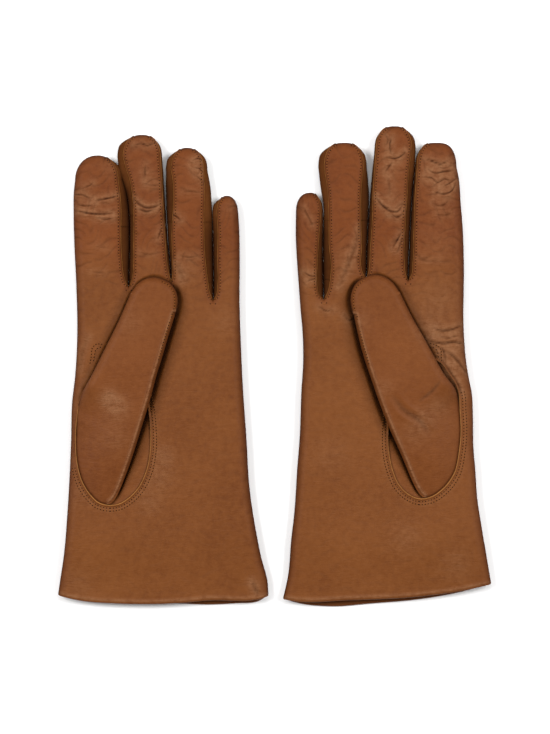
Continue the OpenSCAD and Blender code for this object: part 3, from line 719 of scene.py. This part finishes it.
def plainMaterial(name, colour, roughness, scale, variation=0.25):
    material, tools, shader = nodeTree(name)
    noise = tools["add"]("ShaderNodeTexNoise", Scale=scale, Detail=3.0, Roughness=0.6)
    tools["feed"](noise.inputs["Vector"], tools["add"]("ShaderNodeTexCoord").outputs["Object"])
    tones = tonesOf(tools, noise.outputs["Fac"],
                    [(0.0, tinted(colour, 1 - variation)), (1.0, tinted(colour, 1 + variation))])
    tools["feed"](shader.inputs["Base Color"], tones)
    tools["feed"](shader.inputs["Normal"], tools["rise"](noise.outputs["Fac"], 0.3, 0.00008))
    shader.inputs["Roughness"].default_value = roughness
    shader.inputs["Specular IOR Level"].default_value = 0.06
    return material


def silkMaterial(name):
    material, tools, shader = nodeTree(name)
    place = tools["add"]("ShaderNodeTexCoord").outputs["Object"]
    ribs = [tools["add"]("ShaderNodeTexWave", Scale=scale, Distortion=0.6, Detail=1.0, bands_direction=along)
            for scale, along in ((600.0, "X"), (480.0, "Y"))]
    for texture in ribs:
        tools["feed"](texture.inputs["Vector"], place)
    knit = tools["calc"]("MULTIPLY", ribs[0].outputs["Fac"], ribs[1].outputs["Fac"])
    tones = tonesOf(tools, knit, [(0.0, (0.40, 0.31, 0.21)), (1.0, (0.62, 0.52, 0.39))])
    tools["feed"](shader.inputs["Base Color"], tones)
    tools["feed"](shader.inputs["Normal"], tools["rise"](knit, 0.35, 0.0002))
    shader.inputs["Roughness"].default_value = 0.5
    shader.inputs["Sheen Weight"].default_value = 0.3
    return material


leather = leatherMaterial("napa leather")
shadedStripLook = {**leatherLook, "fold": (0.007, 0.0016, 0.0007)}    # painted shade: the side strips stand in shade, so they get a darker shade colour and a darker copy of the leather
shadedStripLeather = leatherMaterial("side strip leather", 0.78, 0.3, shadedStripLook)
rawEdge = plainMaterial("raw leather edge", (0.200, 0.078, 0.019), 0.8, 170.0, 0.9)
paleEdge = plainMaterial("pale oval edge", (0.330, 0.150, 0.042), 0.8, 220.0, 0.6)
threadMaterial = plainMaterial("tan thread", (0.195, 0.067, 0.014), 0.6, 2500.0, 0.2)
# painted shade: near-black domes stand for the stitch holes, which lie in shade
holeShadeMaterial = plainMaterial("stitch hole", (0.012, 0.003, 0.001), 0.95, 2500.0, 0.2)
silk = silkMaterial("champagne silk")
skinMaterials = [leather, rawEdge]
print("materials made")


thread = {"pitch": 1.62, "radius": 0.23, "share": 0.56, "hole": 0.3, "sunk": -0.06, "sides": 6}


def tubeFaces(count, rings):
    # faces of several tubes at once, each of so many rings
    sides = thread["sides"]
    r, s = np.meshgrid(np.arange(rings - 1), np.arange(sides), indexing="ij")
    ahead = (s + 1) % sides
    quad = np.stack([r * sides + s, r * sides + ahead, (r + 1) * sides + ahead, (r + 1) * sides + s], -1)
    return (np.arange(count)[:, None, None, None] * rings * sides + quad[None]).reshape(-1, 4)


def unit(vectors):
    return vectors / np.maximum(np.linalg.norm(vectors, axis=1, keepdims=True), 1e-9)


def capsules(path, up):
    # thread stitches along a path, and between each two a near-black dome of painted shade for the stitch
    # hole
    steps = np.linalg.norm(np.diff(path, axis=0), axis=1)
    keys = np.concatenate([[0], np.cumsum(steps)])
    count = max(1, int(keys[-1] / thread["pitch"]))
    ends = np.linspace(0, keys[-1], count + 1)
    at = (ends[:-1] + ends[1:]) / 2

    def sample(where, values):
        return np.stack([np.interp(where, keys, values[:, k]) for k in range(3)], 1)
    middle, normal = sample(at, path), unit(sample(at, up))
    along = unit(sample(at + 0.2, path) - sample(at - 0.2, path))
    across = np.cross(normal, along)
    half = (ends[1] - ends[0]) * thread["share"] / 2
    lengths = np.array([-1, -0.72, 0, 0.72, 1]) * half
    girths = np.array([0.15, 0.8, 1, 0.8, 0.15]) * thread["radius"]
    turn = np.arange(thread["sides"]) * 2 * math.pi / thread["sides"]
    skew = rng.normal(0, 0.05, len(middle))
    points = (middle[:, None, None] + along[:, None, None] * lengths[None, :, None, None]
              + across[:, None, None] * (girths[:, None] * np.cos(turn))[None, :, :, None]
              + across[:, None, None] * (skew[:, None] * lengths)[:, :, None, None]
              + normal[:, None, None] * (girths[:, None] * np.sin(turn) - thread["sunk"]
                                         - 0.12 * (np.abs(lengths) / half)[:, None] ** 2)[None, :, :, None])
    holeAt, holeUp = sample(ends, path), unit(sample(ends, up))
    holeAlong = sample(ends + 0.2, path) - sample(ends - 0.2, path)
    holeAlong[np.linalg.norm(holeAlong, axis=1) < 1e-6] = (0, 1, 0)
    holeAlong = unit(holeAlong)
    holeAcross = np.cross(holeUp, holeAlong)
    rim, dome = thread["hole"], np.array([[1.0, 0.02], [0.55, 0.11], [0.05, 0.13]])
    long = rim * 1.4    # a hole is a little longer than it is wide
    holes = (holeAt[:, None, None]
             + long * holeAlong[:, None, None] * (dome[:, :1] * np.cos(turn))[None, :, :, None]
             + rim * holeAcross[:, None, None] * (dome[:, :1] * np.sin(turn))[None, :, :, None]
             + holeUp[:, None, None] * (dome[:, 1:] + 0 * turn)[None, :, :, None])
    return [newPart(points, tubeFaces(len(middle), len(lengths))[:, ::-1], 0),
            newPart(holes, tubeFaces(len(holeAt), len(dome)), 1)]


def heightNormal(glove, p, heightOf):
    step = 0.6
    z, _ = heightOf(glove, p)
    du = heightOf(glove, p + [step, 0])[0] - heightOf(glove, p - [step, 0])[0]
    dv = heightOf(glove, p + [0, step])[0] - heightOf(glove, p - [0, step])[0]
    normal = np.stack([-du / (2 * step), -dv / (2 * step), np.ones(len(p))], 1)
    return np.column_stack([p, z]), normal / np.linalg.norm(normal, axis=1, keepdims=True)


bends = {"root": (6.5, 9), "mid": (7.5, 8)}    # how far before and past each knuckle the start and end points are put
cutBefore = {"root": 6.5, "mid": 8}    # how far before each knuckle the skin is cut into lengths


def fingerBend(glove, finger, knuckle):
    # points before and past a finger's knuckle, in the row's frame, and the knuckle's place
    joint = jointOf[f"{glove['side']}_{fingerNames[finger]}_{knuckle}_knuckle"]
    axis, at = Vector(joint["axis"]), Vector(joint["pos_m"])
    ahead = Vector((0, 0, 1)).cross(axis)
    before, after = bends[knuckle]
    return {"start": tuple(at - ahead * before / 1000), "end": tuple(at + ahead * after / 1000), "at": at}


def cutPlaces(glove, finger):
    # places along v where the finger is cut into its lengths, in the glove's frame
    return [fingerBend(glove, finger, knuckle)["at"].y * 1000 - cutBefore[knuckle]
            for knuckle in ("root", "mid")]


def buildTrank(glove):
    # palm, back and the eight finger skins of one glove, cut from one sheet
    parts, grids = [], {}
    for finger in range(4):
        for face, cuff, heightOf in (("front", "palmCuff", frontHeight), ("back", "backCuff", backHeight)):
            plan = strip(glove, finger, glove[cuff])
            rows, columns = plan.shape[:2]
            z, looks = heightOf(glove, plan.reshape(-1, 2))
            points = np.column_stack([plan.reshape(-1, 2), z])
            faces = gridFaces(rows, columns, 0, face == "front")
            split = hand["rows"]
            midV = cutPlaces(glove, finger)[1]
            midRow = int(np.argmin(np.abs(plan[:, columns // 2, 1] - midV)))
            rowOf = np.arange(len(faces)) // (columns - 1)
            part = newPart(points, faces, 0, *looks)
            part["tag"] = np.where(rowOf < split, 0, np.where(rowOf < midRow, 1 + finger, 5 + finger))
            parts.append(part)
            grids[finger, face] = {"points": points.reshape(rows, columns, 3), "midRow": midRow}
    skin = welded(joined(parts))
    skin["normals"] = normalsOf(skin["points"], skin["faces"])
    return skin, grids


def taggedPart(skin, tag):
    keep = skin["tag"] == tag
    return {**skin, **{key: skin[key][keep] for key in ("faces", "material", "tag")}}


def skinNormals(skin, points):
    # the skin's normals at the points of it that lie nearest
    if "tree" not in skin:
        skin["tree"] = KDTree(len(skin["points"]))
        for i, p in enumerate(skin["points"]):
            skin["tree"].insert(p, i)
        skin["tree"].balance()
    return np.array([skin["normals"][skin["tree"].find(p)[1]] for p in points])


hem = {"thick": 1.7, "deep": 15.0, "turns": 6}


def hemParts(skin, grids):
    # the leather turned in at the cuff: a rounded edge and a facing inside
    parts = []
    for finger in range(4):
        for face in ("front", "back"):
            grid = grids[finger, face]["points"]
            rowStep = np.linalg.norm(grid[1, 0] - grid[0, 0])
            inRows = [int(x / rowStep) for x in (0.01, 2, 5, 9, hem["deep"])]
            edge = grid[0]
            normal = skinNormals(skin, edge)
            middle = edge - normal * hem["thick"] / 2
            rowsOut = []
            for turn in np.linspace(0, math.pi, hem["turns"] + 1):
                rowsOut.append(middle + hem["thick"] / 2 * (normal * math.cos(turn)
                                                            + np.array([0, -1, 0]) * math.sin(turn)))
            for r in inRows[1:]:
                rowsOut.append(grid[r] - skinNormals(skin, grid[r]) * hem["thick"])
            last = grid[inRows[-1]]
            rowsOut.append(last - skinNormals(skin, last) * (hem["thick"] - 0.6) + [0, 0.3, 0])
            sheet = np.array(rowsOut)
            # painted shade: a little on the cuff's rounded edge, more on the facing inside the cuff
            dark = np.zeros(sheet.shape[:2])
            dark[0] = 0.15
            dark[hem["turns"] - 1:] = 0.3
            parts.append(newPart(sheet, gridFaces(*sheet.shape[:2], 0, face == "back"), 0, dark))
    return [welded(joined(parts))]


def seamCurve(glove, finger, side):
    # the front panel's edge from the fork round to the middle of the tip: points and outward directions
    shape = glove[fingerNames[finger]]
    fork = glove["forks"][finger - 1 if side == "Thumb" else finger][1]
    v = np.arange(fork, tipStart(shape), 0.5)
    sign = 1 if side == "Thumb" else -1
    lower = np.stack([edgeAt(glove, finger, side)(v), v], 1)
    tip, share = tipCurve(glove, finger)
    keep = share * sign > 0.42
    p = np.vstack([lower, tip[keep] if side == "Thumb" else tip[keep][::-1]])
    ahead = np.gradient(p, axis=0)
    out = np.stack([ahead[:, 1], -ahead[:, 0]], 1) * sign
    out /= np.maximum(np.linalg.norm(out, axis=1, keepdims=True), 1e-9)
    return p, out, fork


def sideParts(glove, finger, side):
    # raw edges of the front and back panels, the fourchette between them, and the line of the stitches
    shape = glove[fingerNames[finger]]
    p, out, fork = seamCurve(glove, finger, side)
    z, _ = frontHeight(glove, p)
    zBack, _ = backHeight(glove, p)
    start = tipStart(shape)
    edgeV = p[:, 1]
    inFinger = np.minimum(edgeV, start)
    reach = np.abs(smooth(shape["out" + side], inFinger) - edgeAt(glove, finger, side)(inFinger))
    fade = 1 - ease(start + shape["round"] * 0.35, start + shape["round"] * 0.97, edgeV)
    reach = np.maximum(reach * fade, 0.05)
    grow = ease(0, 2.5, edgeV - fork)

    def rimOf(height, drop):
        # the raw edge leans out and turns over by drop
        lean = out * seam["lean"]
        return np.array([np.column_stack([p + lean * step * grow[:, None], height - drop * share])
                         for step, share in ((0, 0), (0.5, 0.25), (1, 0.8), (0.9, 1.0))])
    wall = []
    top, bottom = z - 0.45, np.minimum(zBack + 0.45, z - 0.5)
    for turn in np.linspace(0, math.pi, 13):
        bulge = math.sin(turn) ** 0.75
        height = bottom + (top - bottom) * 0.5 * (1 + math.cos(turn))
        wall.append(np.column_stack([p + out * (reach * bulge + 0.1 * (1 - bulge))[:, None], height]))
    other = finger - 1 if side == "Thumb" else finger + 1
    meets = min(shape["tip"][1], glove[fingerNames[other]]["tip"][1]) - 12
    apart = ease(meets - 14, meets + 5, edgeV)[None]
    low = np.linspace(0, 1, 13)[:, None]
    # painted shade on the fourchette: darker towards the back panel, and darkest where the next finger lies
    # close
    wallPaintedShade = np.minimum(0.55 + 0.9 * low, 1.0) * (1 - apart) + (0.3 + 0.55 * low) * apart
    return {"rim": rimOf(z, seam["edge"]), "rimBack": rimOf(zBack, -0.8 * seam["edge"]),
            "wall": np.array(wall), "dark": wallPaintedShade, "v": edgeV,
            "inner": p - out * (seam["inset"] * grow)[:, None], "flip": side == "Thumb"}


def rowRange(sheet, low, high, v):
    keep = np.where((v >= low - 0.5) & (v <= high + 0.5))[0]
    return sheet[:, keep] if len(keep) > 1 else None


def gridPart(sheet, material, dark=None, flip=False):
    return newPart(sheet, gridFaces(sheet.shape[0], sheet.shape[1], 0, flip), material, dark)


def build(glove):
    side = glove["side"]
    glove["at"] = mountOf[side + "_back_rest"]["pos_m"][0]
    glove["tucks"] = [22, 3, -17]
    glove["ovalLine"] = closedCurve(glove["oval"], 0.4)
    glove["ovalAway"] = signedAway(glove["ovalLine"])
    pressThumb(glove)
    glove["edges"] = gloveEdges(glove)
    body = side + "_hand"
    skin, grids = buildTrank(glove)
    print(side, "trank shaped:", len(skin["points"]), "points")

    strips = []
    below, above = -200, 300    # past both ends of every finger
    for finger in range(4):
        name = f"{side}_{fingerNames[finger]}"
        rootCut, midCut = cutPlaces(glove, finger)
        skins = [taggedPart(skin, 1 + finger)], [taggedPart(skin, 5 + finger)]
        walls, stitches = ([], []), ([], [])
        lengths = (below, midCut), (midCut, above)
        for which in ("Thumb", "Little"):
            if isPlain(finger, which):
                continue
            s = sideParts(glove, finger, which)
            for key, turned in (("rim", s["flip"]), ("rimBack", not s["flip"])):
                for (low, high), target in zip(lengths, skins):
                    target.append(gridPart(rowRange(s[key], low, high, s["v"]), 1, flip=turned))
            for low, high, target in ((below, rootCut, strips), (rootCut, midCut, walls[0]),
                                      (midCut, above, walls[1])):
                sheet = rowRange(s["wall"], low, high, s["v"])
                if sheet is not None:
                    target.append(gridPart(sheet, 0, rowRange(s["dark"], low, high, s["v"]), flip=s["flip"]))
            path, up = heightNormal(glove, s["inner"], frontHeight)
            for (low, high), target in zip(lengths, stitches):
                keep = (s["v"] >= low) & (s["v"] < high)
                target += capsules(path[keep], up[keep])
        rides = [("_base", body, {**fingerBend(glove, finger, "root"), "to": name + "_base"}),
                 ("_tip", name + "_base", {**fingerBend(glove, finger, "mid"), "to": name + "_tip"})]
        for kind, slot, materials, sheets, node in (
                ("_skin", "leather", skinMaterials, skins, "_stall"),
                ("_strips", "side_leather", [shadedStripLeather], walls, "_fourchettes"),
                ("_stitches", "thread", [threadMaterial, holeShadeMaterial], stitches, None),
                ("_silk", "lining", [silk], fingerLining(finger, grids, skin), "_lining")):
            for (length, rider, bend), parts in zip(rides, sheets):
                nodes = [name + length + node] if node else ()
                finish(name + length + kind, glove, parts, materials, rider, nodes, bend)
    finish(side + "_forks", glove, strips, [shadedStripLeather], body, [side + "_forks_and_quirks"])
    finish(side + "_trank_skin", glove, [taggedPart(skin, 0)] + hemParts(skin, grids), skinMaterials, body,
           [side + "_trank"])
    buildOval(glove, body)
    buildThumb(glove, body)
    buildHandLining(glove, grids, skin, body)
    print(side, "glove built")


liningShape = {"inset": 1.5, "every": 3}


def innerGrid(finger, grids, skin, low, high):
    # the lining of a length of one finger's strip: front, back and two side walls
    parts = []
    sheets = {}
    for face in ("front", "back"):
        grid = grids[finger, face]["points"]
        rows = list(range(low, high, liningShape["every"])) + [high]
        cols = list(range(0, grid.shape[1] - 1, liningShape["every"])) + [grid.shape[1] - 1]
        picked = grid[np.ix_(rows, cols)]
        flat = picked.reshape(-1, 3)
        inside = flat - skinNormals(skin, flat) * liningShape["inset"]
        sheets[face] = inside.reshape(picked.shape)
        parts.append(newPart(inside, gridFaces(len(rows), len(cols), 0, face == "front"), 0))
    for column in (0, -1):
        wall = np.stack([sheets["front"][:, column], sheets["back"][:, column]])
        parts.append(gridPart(wall, 0, flip=column == 0))
    return parts


def fingerLining(finger, grids, skin):
    # the silk of a finger's two lengths
    midRow = grids[finger, "front"]["midRow"]
    last = len(grids[finger, "front"]["points"]) - hand["tipRows"] - 8
    return innerGrid(finger, grids, skin, hand["rows"], midRow), innerGrid(finger, grids, skin, midRow, last)


def buildHandLining(glove, grids, skin, body):
    parts = []
    for finger in range(4):
        grid = grids[finger, "front"]["points"]
        first = int((hem["deep"] - 0.5) / np.linalg.norm(grid[1, 0] - grid[0, 0]))
        rows = innerGrid(finger, grids, skin, first, hand["rows"])
        parts += rows[:2] + (rows[2:3] if finger == 0 else []) + (rows[3:4] if finger == 3 else [])
    side = glove["side"]
    finish(side + "_hand_silk", glove, parts, [silk], body, [side + "_hand_lining"])


lipShape = {"out": 1.4, "rise": 0.42, "rows": (1.75, 3.35)}    # rows: how far out each row of stitches is


def buildOval(glove, body):
    # the raised raw edge of the oval thumb opening, its two rows of stitches and the small quirk
    line = glove["ovalLine"]
    out, area = outwardOf(line)
    out /= np.linalg.norm(out, axis=1, keepdims=True)
    base, _ = frontHeight(glove, line + out * lipShape["out"])
    rise = lipShape["rise"]
    profile = [(lipShape["out"], -0.12), (0.85, rise * 0.55), (0.5, rise), (0.24, rise), (0.0, rise * 0.5),
               (-0.05, -0.15), (-0.05, -0.6)]
    rows = np.array([np.column_stack([line + out * away, base + up]) for away, up in profile])
    rows = np.concatenate([rows, rows[:, :1]], 1)
    # painted shade on the lip: dark where its raw edge turns down into the seam, a little along its outer
    # foot
    lipPaintedShade = np.array([0.25, 0.05, 0.0, 0.0, 0.1, 0.7, 0.9])[:, None] + 0 * rows[..., 0]
    turned = area < 0
    lip = gridPart(rows[:4], 0, lipPaintedShade[:4], flip=turned)
    raw = gridPart(rows[3:], 1, lipPaintedShade[3:], flip=turned)
    finish(glove["side"] + "_oval_edge", glove, [lip, raw], [leather, paleEdge], body)
    stitches = []
    shown = line[:, 1] < np.where(line[:, 0] > 25, glove["stitchTop"], 4)
    for away in lipShape["rows"]:
        ring = line + out * away
        inHand = shown & (ring[:, 0] < smooth(glove["thumbSide"], ring[:, 1]) - 1.0)
        here = np.where(inHand)[0]
        for run in np.split(here, np.where(np.diff(here) > 1)[0] + 1):
            if len(run) > 12:
                path, up = heightNormal(glove, ring[run], frontHeight)
                stitches += capsules(path, up)
    for quirk in glove["quirk"]:
        path, up = heightNormal(glove, openCurve(quirk, 0.4), frontHeight)
        stitches += capsules(path, up)
    for fork in range(3):
        forkU, forkV = glove["forks"][fork]
        cross = np.array([[forkU - 1.4, forkV - 1.6], [forkU, forkV - 2.2], [forkU + 1.4, forkV - 1.6]])
        path, up = heightNormal(glove, openCurve(cross[:, ::-1].tolist(), 0.3), frontHeight)
        stitches += capsules(path, up)
    finish(glove["side"] + "_hand_stitches", glove, stitches, [threadMaterial, holeShadeMaterial], body)


thumbShape = {
    "floor": 10.45, "highest": 19.95,
    "columns": 56, "rows": 190, "tipRows": 20,
    "splitAt": -10.0, "bend": 9.0,    # where the root is cut from the free part, and how far before and past the lift joint the start and end points are put
    "outerRound": 4.6, "foldRound": 1.7, "ridge": 0.4,
    # height of its crest over the floor, from root to tip
    "crest": [0.3, 1.0, 1.9, 3.0, 4.4, 5.8, 7.2, 8.1, 8.7, 9.0, 9.1, 9.1, 9.0],
    "shade": 0.72,    # how dark the painted shadow of the thumb is on the palm beside it
}


def thumbPlace(glove):
    # the thumb's own frame on the palm: its root and its two directions, from the lift joint
    joint = jointOf[glove["side"] + "_thumb_lift"]
    axis, at = Vector(joint["axis"]), Vector(joint["pos_m"])
    aheadRow = Vector((0, 0, 1)).cross(axis)
    root = np.array([(at.x - glove["at"]) * 1000 * glove["mirror"], at.y * 1000])
    ahead = np.array([aheadRow.x * glove["mirror"], aheadRow.y])
    across = np.array([ahead[1], -ahead[0]])
    return root, across, ahead, at, aheadRow


def onPalm(glove, p):
    # points in the thumb's frame, as (u, v) on the palm
    root, across, ahead, _, _ = thumbPlace(glove)
    return root + p[..., :1] * across + p[..., 1:] * ahead


def thumbRows(glove):
    # outer and folded edge points, crest height, and the rounded tip, in the thumb's frame
    shape = glove["thumb"]
    count = len(shape["outer"])
    keys, rows = np.arange(count), np.linspace(0, count - 1, thumbShape["rows"])

    def spread(points):
        return np.stack([smooth(list(zip(keys, [p[i] for p in points])), rows) for i in (0, 1)], 1)
    return spread(shape["outer"]), spread(shape["fold"]), smooth(list(zip(keys, thumbShape["crest"])), rows)


def pressThumb(glove):
    # how the lying thumb sinks into the palm around its outline
    outer, fold, _ = thumbRows(glove)
    shape = glove["thumb"]
    tipX = shape["tip"][0]
    share = np.sin(np.linspace(1, -1, 90) * math.pi / 2)
    wide = np.where(share > 0, outer[-1, 0] - tipX, tipX - fold[-1, 0])
    startY = outer[-1, 1] * (0.5 + share / 2) + fold[-1, 1] * (0.5 - share / 2)
    tip = np.stack([tipX + share * wide, startY + tipHeight(shape, share)], 1)
    free = ease(-16, -2, outer[:, 1])
    foldFree = ease(-54, -44, fold[:, 1])
    line = np.vstack([outer, tip, fold[::-1]])
    opening = ease(-52, 5, fold[:, 1])
    deep = np.concatenate([free * (0.9 + 0.9 * ease(0, 20, outer[:, 1])), 1.8 + 0.8 * (0.5 - share / 2),
                           (foldFree * (2.2 + opening))[::-1]])
    reach = np.concatenate([0.1 + 1.4 * free, 1.5 + 1.3 * (0.5 - share / 2),
                            (0.4 + 0.7 * foldFree + 1.9 * opening)[::-1]])
    place = onPalm(glove, line)
    glove["thumbTree"] = treeOf(place)
    glove["thumbPress"] = np.stack([deep, reach], 1)
    glove["thumbAway"] = signedAway(place)


def buildThumb(glove, body):
    # the thumb: from the oval's lower end, over its own fold, up to its tip, and its underside
    shape, name = glove["thumb"], glove["side"] + "_thumb"
    root, across, ahead, at, aheadRow = thumbPlace(glove)
    outer, fold, crest = thumbRows(glove)
    outerUv = onPalm(glove, outer)
    onSeam = glove["ovalLine"][nearest(treeOf(glove["ovalLine"]), outerUv)[0]]
    onSeam = np.stack([(onSeam - root) @ across, (onSeam - root) @ ahead], 1)
    outer = outer + (onSeam - outer) * (1 - ease(-24, -10, outer[:, 1]))[:, None]
    t = 0.5 - 0.5 * np.cos(np.linspace(0, math.pi, thumbShape["columns"] + 1))
    t = 0.35 * np.linspace(0, 1, len(t)) + 0.65 * t
    plan = outer[:, None] * (1 - t)[None, :, None] + fold[:, None] * t[None, :, None]
    tipPlan = roundedEnd(shape, plan[-1, :, 0], plan[-1, :, 1], thumbShape["tipRows"])
    plan = np.vstack([plan, tipPlan])
    rows, total, columns = len(outer), len(plan), len(t)
    crest = np.concatenate([crest, np.full(thumbShape["tipRows"], crest[-1])])
    wide = np.linalg.norm(outer - fold, axis=1)
    wide = np.concatenate([wide, np.full(thumbShape["tipRows"], wide[-1])])
    floor = thumbShape["floor"]
    middle = floor + crest / 2
    flat = plan.reshape(-1, 2)
    uv = onPalm(glove, flat)
    dOuter = nearest(treeOf(np.vstack([outer, tipPlan[-1]])), flat)[1].reshape(total, columns)
    dFold = nearest(treeOf(fold), flat)[1].reshape(total, columns)
    ride = np.concatenate([ease(-14, 5, outer[:, 1]), np.ones(thumbShape["tipRows"])])[:, None]

    # the root climbs gently from the seam in the palm; the free part is rounded all round
    seamUv = onPalm(glove, outer)
    palm, _ = frontHeight(glove, seamUv + (seamUv - root) * 0.012)
    palm = np.concatenate([palm, np.full(thumbShape["tipRows"], palm[-1])])[:, None]
    top = (floor + crest)[:, None]
    climb = 1 - (1 - np.clip(dOuter / np.maximum(0.8 * wide, 0.1)[:, None], 0, 1)) ** 2.1
    rooted = palm - 0.05 + (top - palm + 0.05) * climb - 0.55 * np.exp(-((dOuter - 0.35) / 0.5) ** 2)
    freed = top - (top - middle[:, None]) * roundOff(dOuter, thumbShape["outerRound"])
    z = rooted * (1 - ride) + freed * ride
    foldRound = np.minimum(thumbShape["foldRound"], 0.2 * wide + 0.05)[:, None]
    z = z + thumbShape["ridge"] * np.exp(-((dFold - 1.9) / 0.9) ** 2) * ease(2, 9, wide)[:, None]
    z = z - (z - middle[:, None]).clip(0) * roundOff(dFold / foldRound, 1)
    d = np.minimum(dOuter, dFold)
    inside = np.clip(d / 6, 0, 1).ravel()
    z = z.ravel()
    z = np.minimum(z + spots(glove["thumbSoft"], uv) * inside, thumbShape["highest"])
    creasePaintedShade = np.zeros(len(z))
    for path, deep, gentle in glove["thumbCreases"]:
        away, fade = creaseAway(openCurve(path, 0.5), uv)
        z = z - inside * deep * fade * (np.exp(-(away / gentle) ** 2)
                                        - 0.5 * np.exp(-((away - 1.9 * gentle) / gentle) ** 2))
        creasePaintedShade += 0.45 * fade * np.exp(-(away / (0.7 * gentle)) ** 2)
    # painted shade in the thumb's creases and along its edges, darkest along the root's seam; its underside
    # gets more painted shade
    topPaintedShade = 0.03 + creasePaintedShade + (0.3 * np.exp(-dOuter / 0.9) + 0.1 * np.exp(-d / 3)).ravel()
    topPaintedShade = topPaintedShade + (0.6 * np.exp(-dOuter / 0.5) * (1 - ride)).ravel()
    under = floor + (middle[:, None] - floor) * np.maximum(roundOff(dOuter, thumbShape["outerRound"]) * ride,
                                                           roundOff(dFold / foldRound, 1))
    under = np.minimum(under, z.reshape(total, columns) - 0.7 * (1 - ride)).ravel()
    # painted highlight along the crest beside the fold, paleness around the creases, and the painted sheen
    # spots
    worn = (1.3 * np.exp(-((dFold - 1.9) / 0.7) ** 2) * ease(1, 4, wide)[:, None]).ravel() + creasePaintedShade
    worn = worn + spots(glove["sheen"], uv)
    ruddy = np.full(len(z), 0.4)
    topPart = newPart(np.column_stack([uv, z]), gridFaces(total, columns, 0, True), 0, topPaintedShade, worn, ruddy)
    lowPart = newPart(np.column_stack([uv, under]), gridFaces(total, columns), 0, topPaintedShade + 0.2, None, ruddy)
    rowOf = np.arange(len(topPart["faces"])) // (columns - 1)
    splitRow = int(np.argmin(np.abs(plan[:rows, columns // 2, 1] - thumbShape["splitAt"])))
    for part in (topPart, lowPart):
        part["tag"] = np.where(rowOf < splitRow, 0, 1)
    skin = welded(joined([topPart, lowPart]))
    skin["normals"] = normalsOf(skin["points"], skin["faces"])
    reach = thumbShape["bend"] / 1000
    bend = {"to": name, "start": tuple(at - aheadRow * reach), "end": tuple(at + aheadRow * reach)}
    rootPart = taggedPart(skin, 0)
    finish(name + "_root_skin", glove, [rootPart], skinMaterials, body, [name + "_root"])
    finish(name + "_skin", glove, [taggedPart(skin, 1)], skinMaterials, body, [name], bend)

    # the seam just inside the folded edge, and the lining tube inside the free part
    edge = np.vstack([fold[fold[:, 1] > 30], tipPlan[-1][::-1][:columns // 2]])
    inward = np.gradient(edge, axis=0)
    inward = np.stack([inward[:, 1], -inward[:, 0]], 1)
    inward /= np.linalg.norm(inward, axis=1, keepdims=True)
    row = edge + inward * 1.5
    path = np.column_stack([onPalm(glove, row), z[nearest(treeOf(flat), row)[0]]])
    path[:, 2] = np.convolve(np.pad(path[:, 2], 3, "edge"), np.ones(7) / 7, "valid")
    steep = np.column_stack([-(inward[:, :1] * across + inward[:, 1:] * ahead), np.full(len(row), 1.6)])
    finish(name + "_stitches", glove, capsules(path, steep), [threadMaterial, holeShadeMaterial], body,
           (), bend)
    first = int(np.argmin(np.abs(plan[:rows, columns // 2, 1] - 5)))
    tube = []
    centre = (plan[first:rows, :1] + plan[first:rows, -1:]) / 2
    shrink = 1 - 2 * liningShape["inset"] / wide[first:rows, None, None]
    inner = centre + (plan[first:rows] - centre) * shrink
    innerUv = onPalm(glove, inner)
    level = middle[first:rows, None]
    for face, heights in (("front", z), ("back", under)):
        height = level + (heights.reshape(total, columns)[first:rows] - level) * 0.66
        sheet = np.concatenate([innerUv, height[..., None]], 2)[::3]
        tube.append(gridPart(sheet, 0, flip=face == "front"))
    finish(name + "_silk", glove, tube, [silk], body, [name + "_lining"], bend)


for glove in (leftGlove, rightGlove):
    build(glove)

# Studio: a pale floor, a broad soft light overhead and a weaker one from the fingertips' side.
studio = {
    "floor": (0.93, 0.93, 0.93), "floorSize": 8.0, "world": 0.34,
    "height": 1.5, "sensor": 36,
    "view": (0.30525, 0.00028, -0.00055), "level": 0.006,    # the view's width at that level, and its place
    "lights": [("left softbox", (-0.9, 0.3, 1.2), 0.55, 18.0), ("right softbox", (0.9, 0.3, 1.2), 0.55, 16.0),
               ("fingertip side", (0.0, 1.0, 1.2), 0.6, 6.0)],
}


def buildStudio():
    scene = bpy.context.scene
    size = studio["floorSize"] / 2
    mesh = bpy.data.meshes.new("floor")
    corners = [(-size, -size, 0), (size, -size, 0), (size, size, 0), (-size, size, 0)]
    mesh.from_pydata(corners, [], [(0, 1, 2, 3)])
    floor = bpy.data.objects.new("floor", mesh)
    bpy.context.collection.objects.link(floor)
    material = bpy.data.materials.new("pale floor")
    material.use_nodes = True
    shader = material.node_tree.nodes["Principled BSDF"]
    shader.inputs["Base Color"].default_value = studio["floor"] + (1,)
    shader.inputs["Roughness"].default_value = 0.9
    shader.inputs["Specular IOR Level"].default_value = 0.1
    mesh.materials.append(material)
    world = bpy.data.worlds.new("studio")
    world.use_nodes = True
    world.node_tree.nodes["Background"].inputs["Color"].default_value = (1, 1, 1, 1)
    world.node_tree.nodes["Background"].inputs["Strength"].default_value = studio["world"]
    scene.world = world
    for name, place, width, power in studio["lights"]:
        lamp = bpy.data.lights.new(name, "AREA")
        lamp.shape, lamp.size, lamp.energy = "SQUARE", width, power
        light = bpy.data.objects.new(name, lamp)
        light.location = place
        light.rotation_euler = (-Vector(place)).to_track_quat("-Z", "Y").to_euler()
        bpy.context.collection.objects.link(light)
    camera = bpy.data.objects.new("camera", bpy.data.cameras.new("camera"))
    width, x, y = studio["view"]
    camera.location = (x, y, studio["height"])
    camera.data.sensor_fit = "HORIZONTAL"
    camera.data.sensor_width = studio["sensor"]
    camera.data.lens = studio["sensor"] * (studio["height"] - studio["level"]) / width
    camera.data.clip_end = 50
    bpy.context.collection.objects.link(camera)
    scene.camera = camera
    scene.view_settings.view_transform = "Standard"
    print("studio set")


buildStudio()
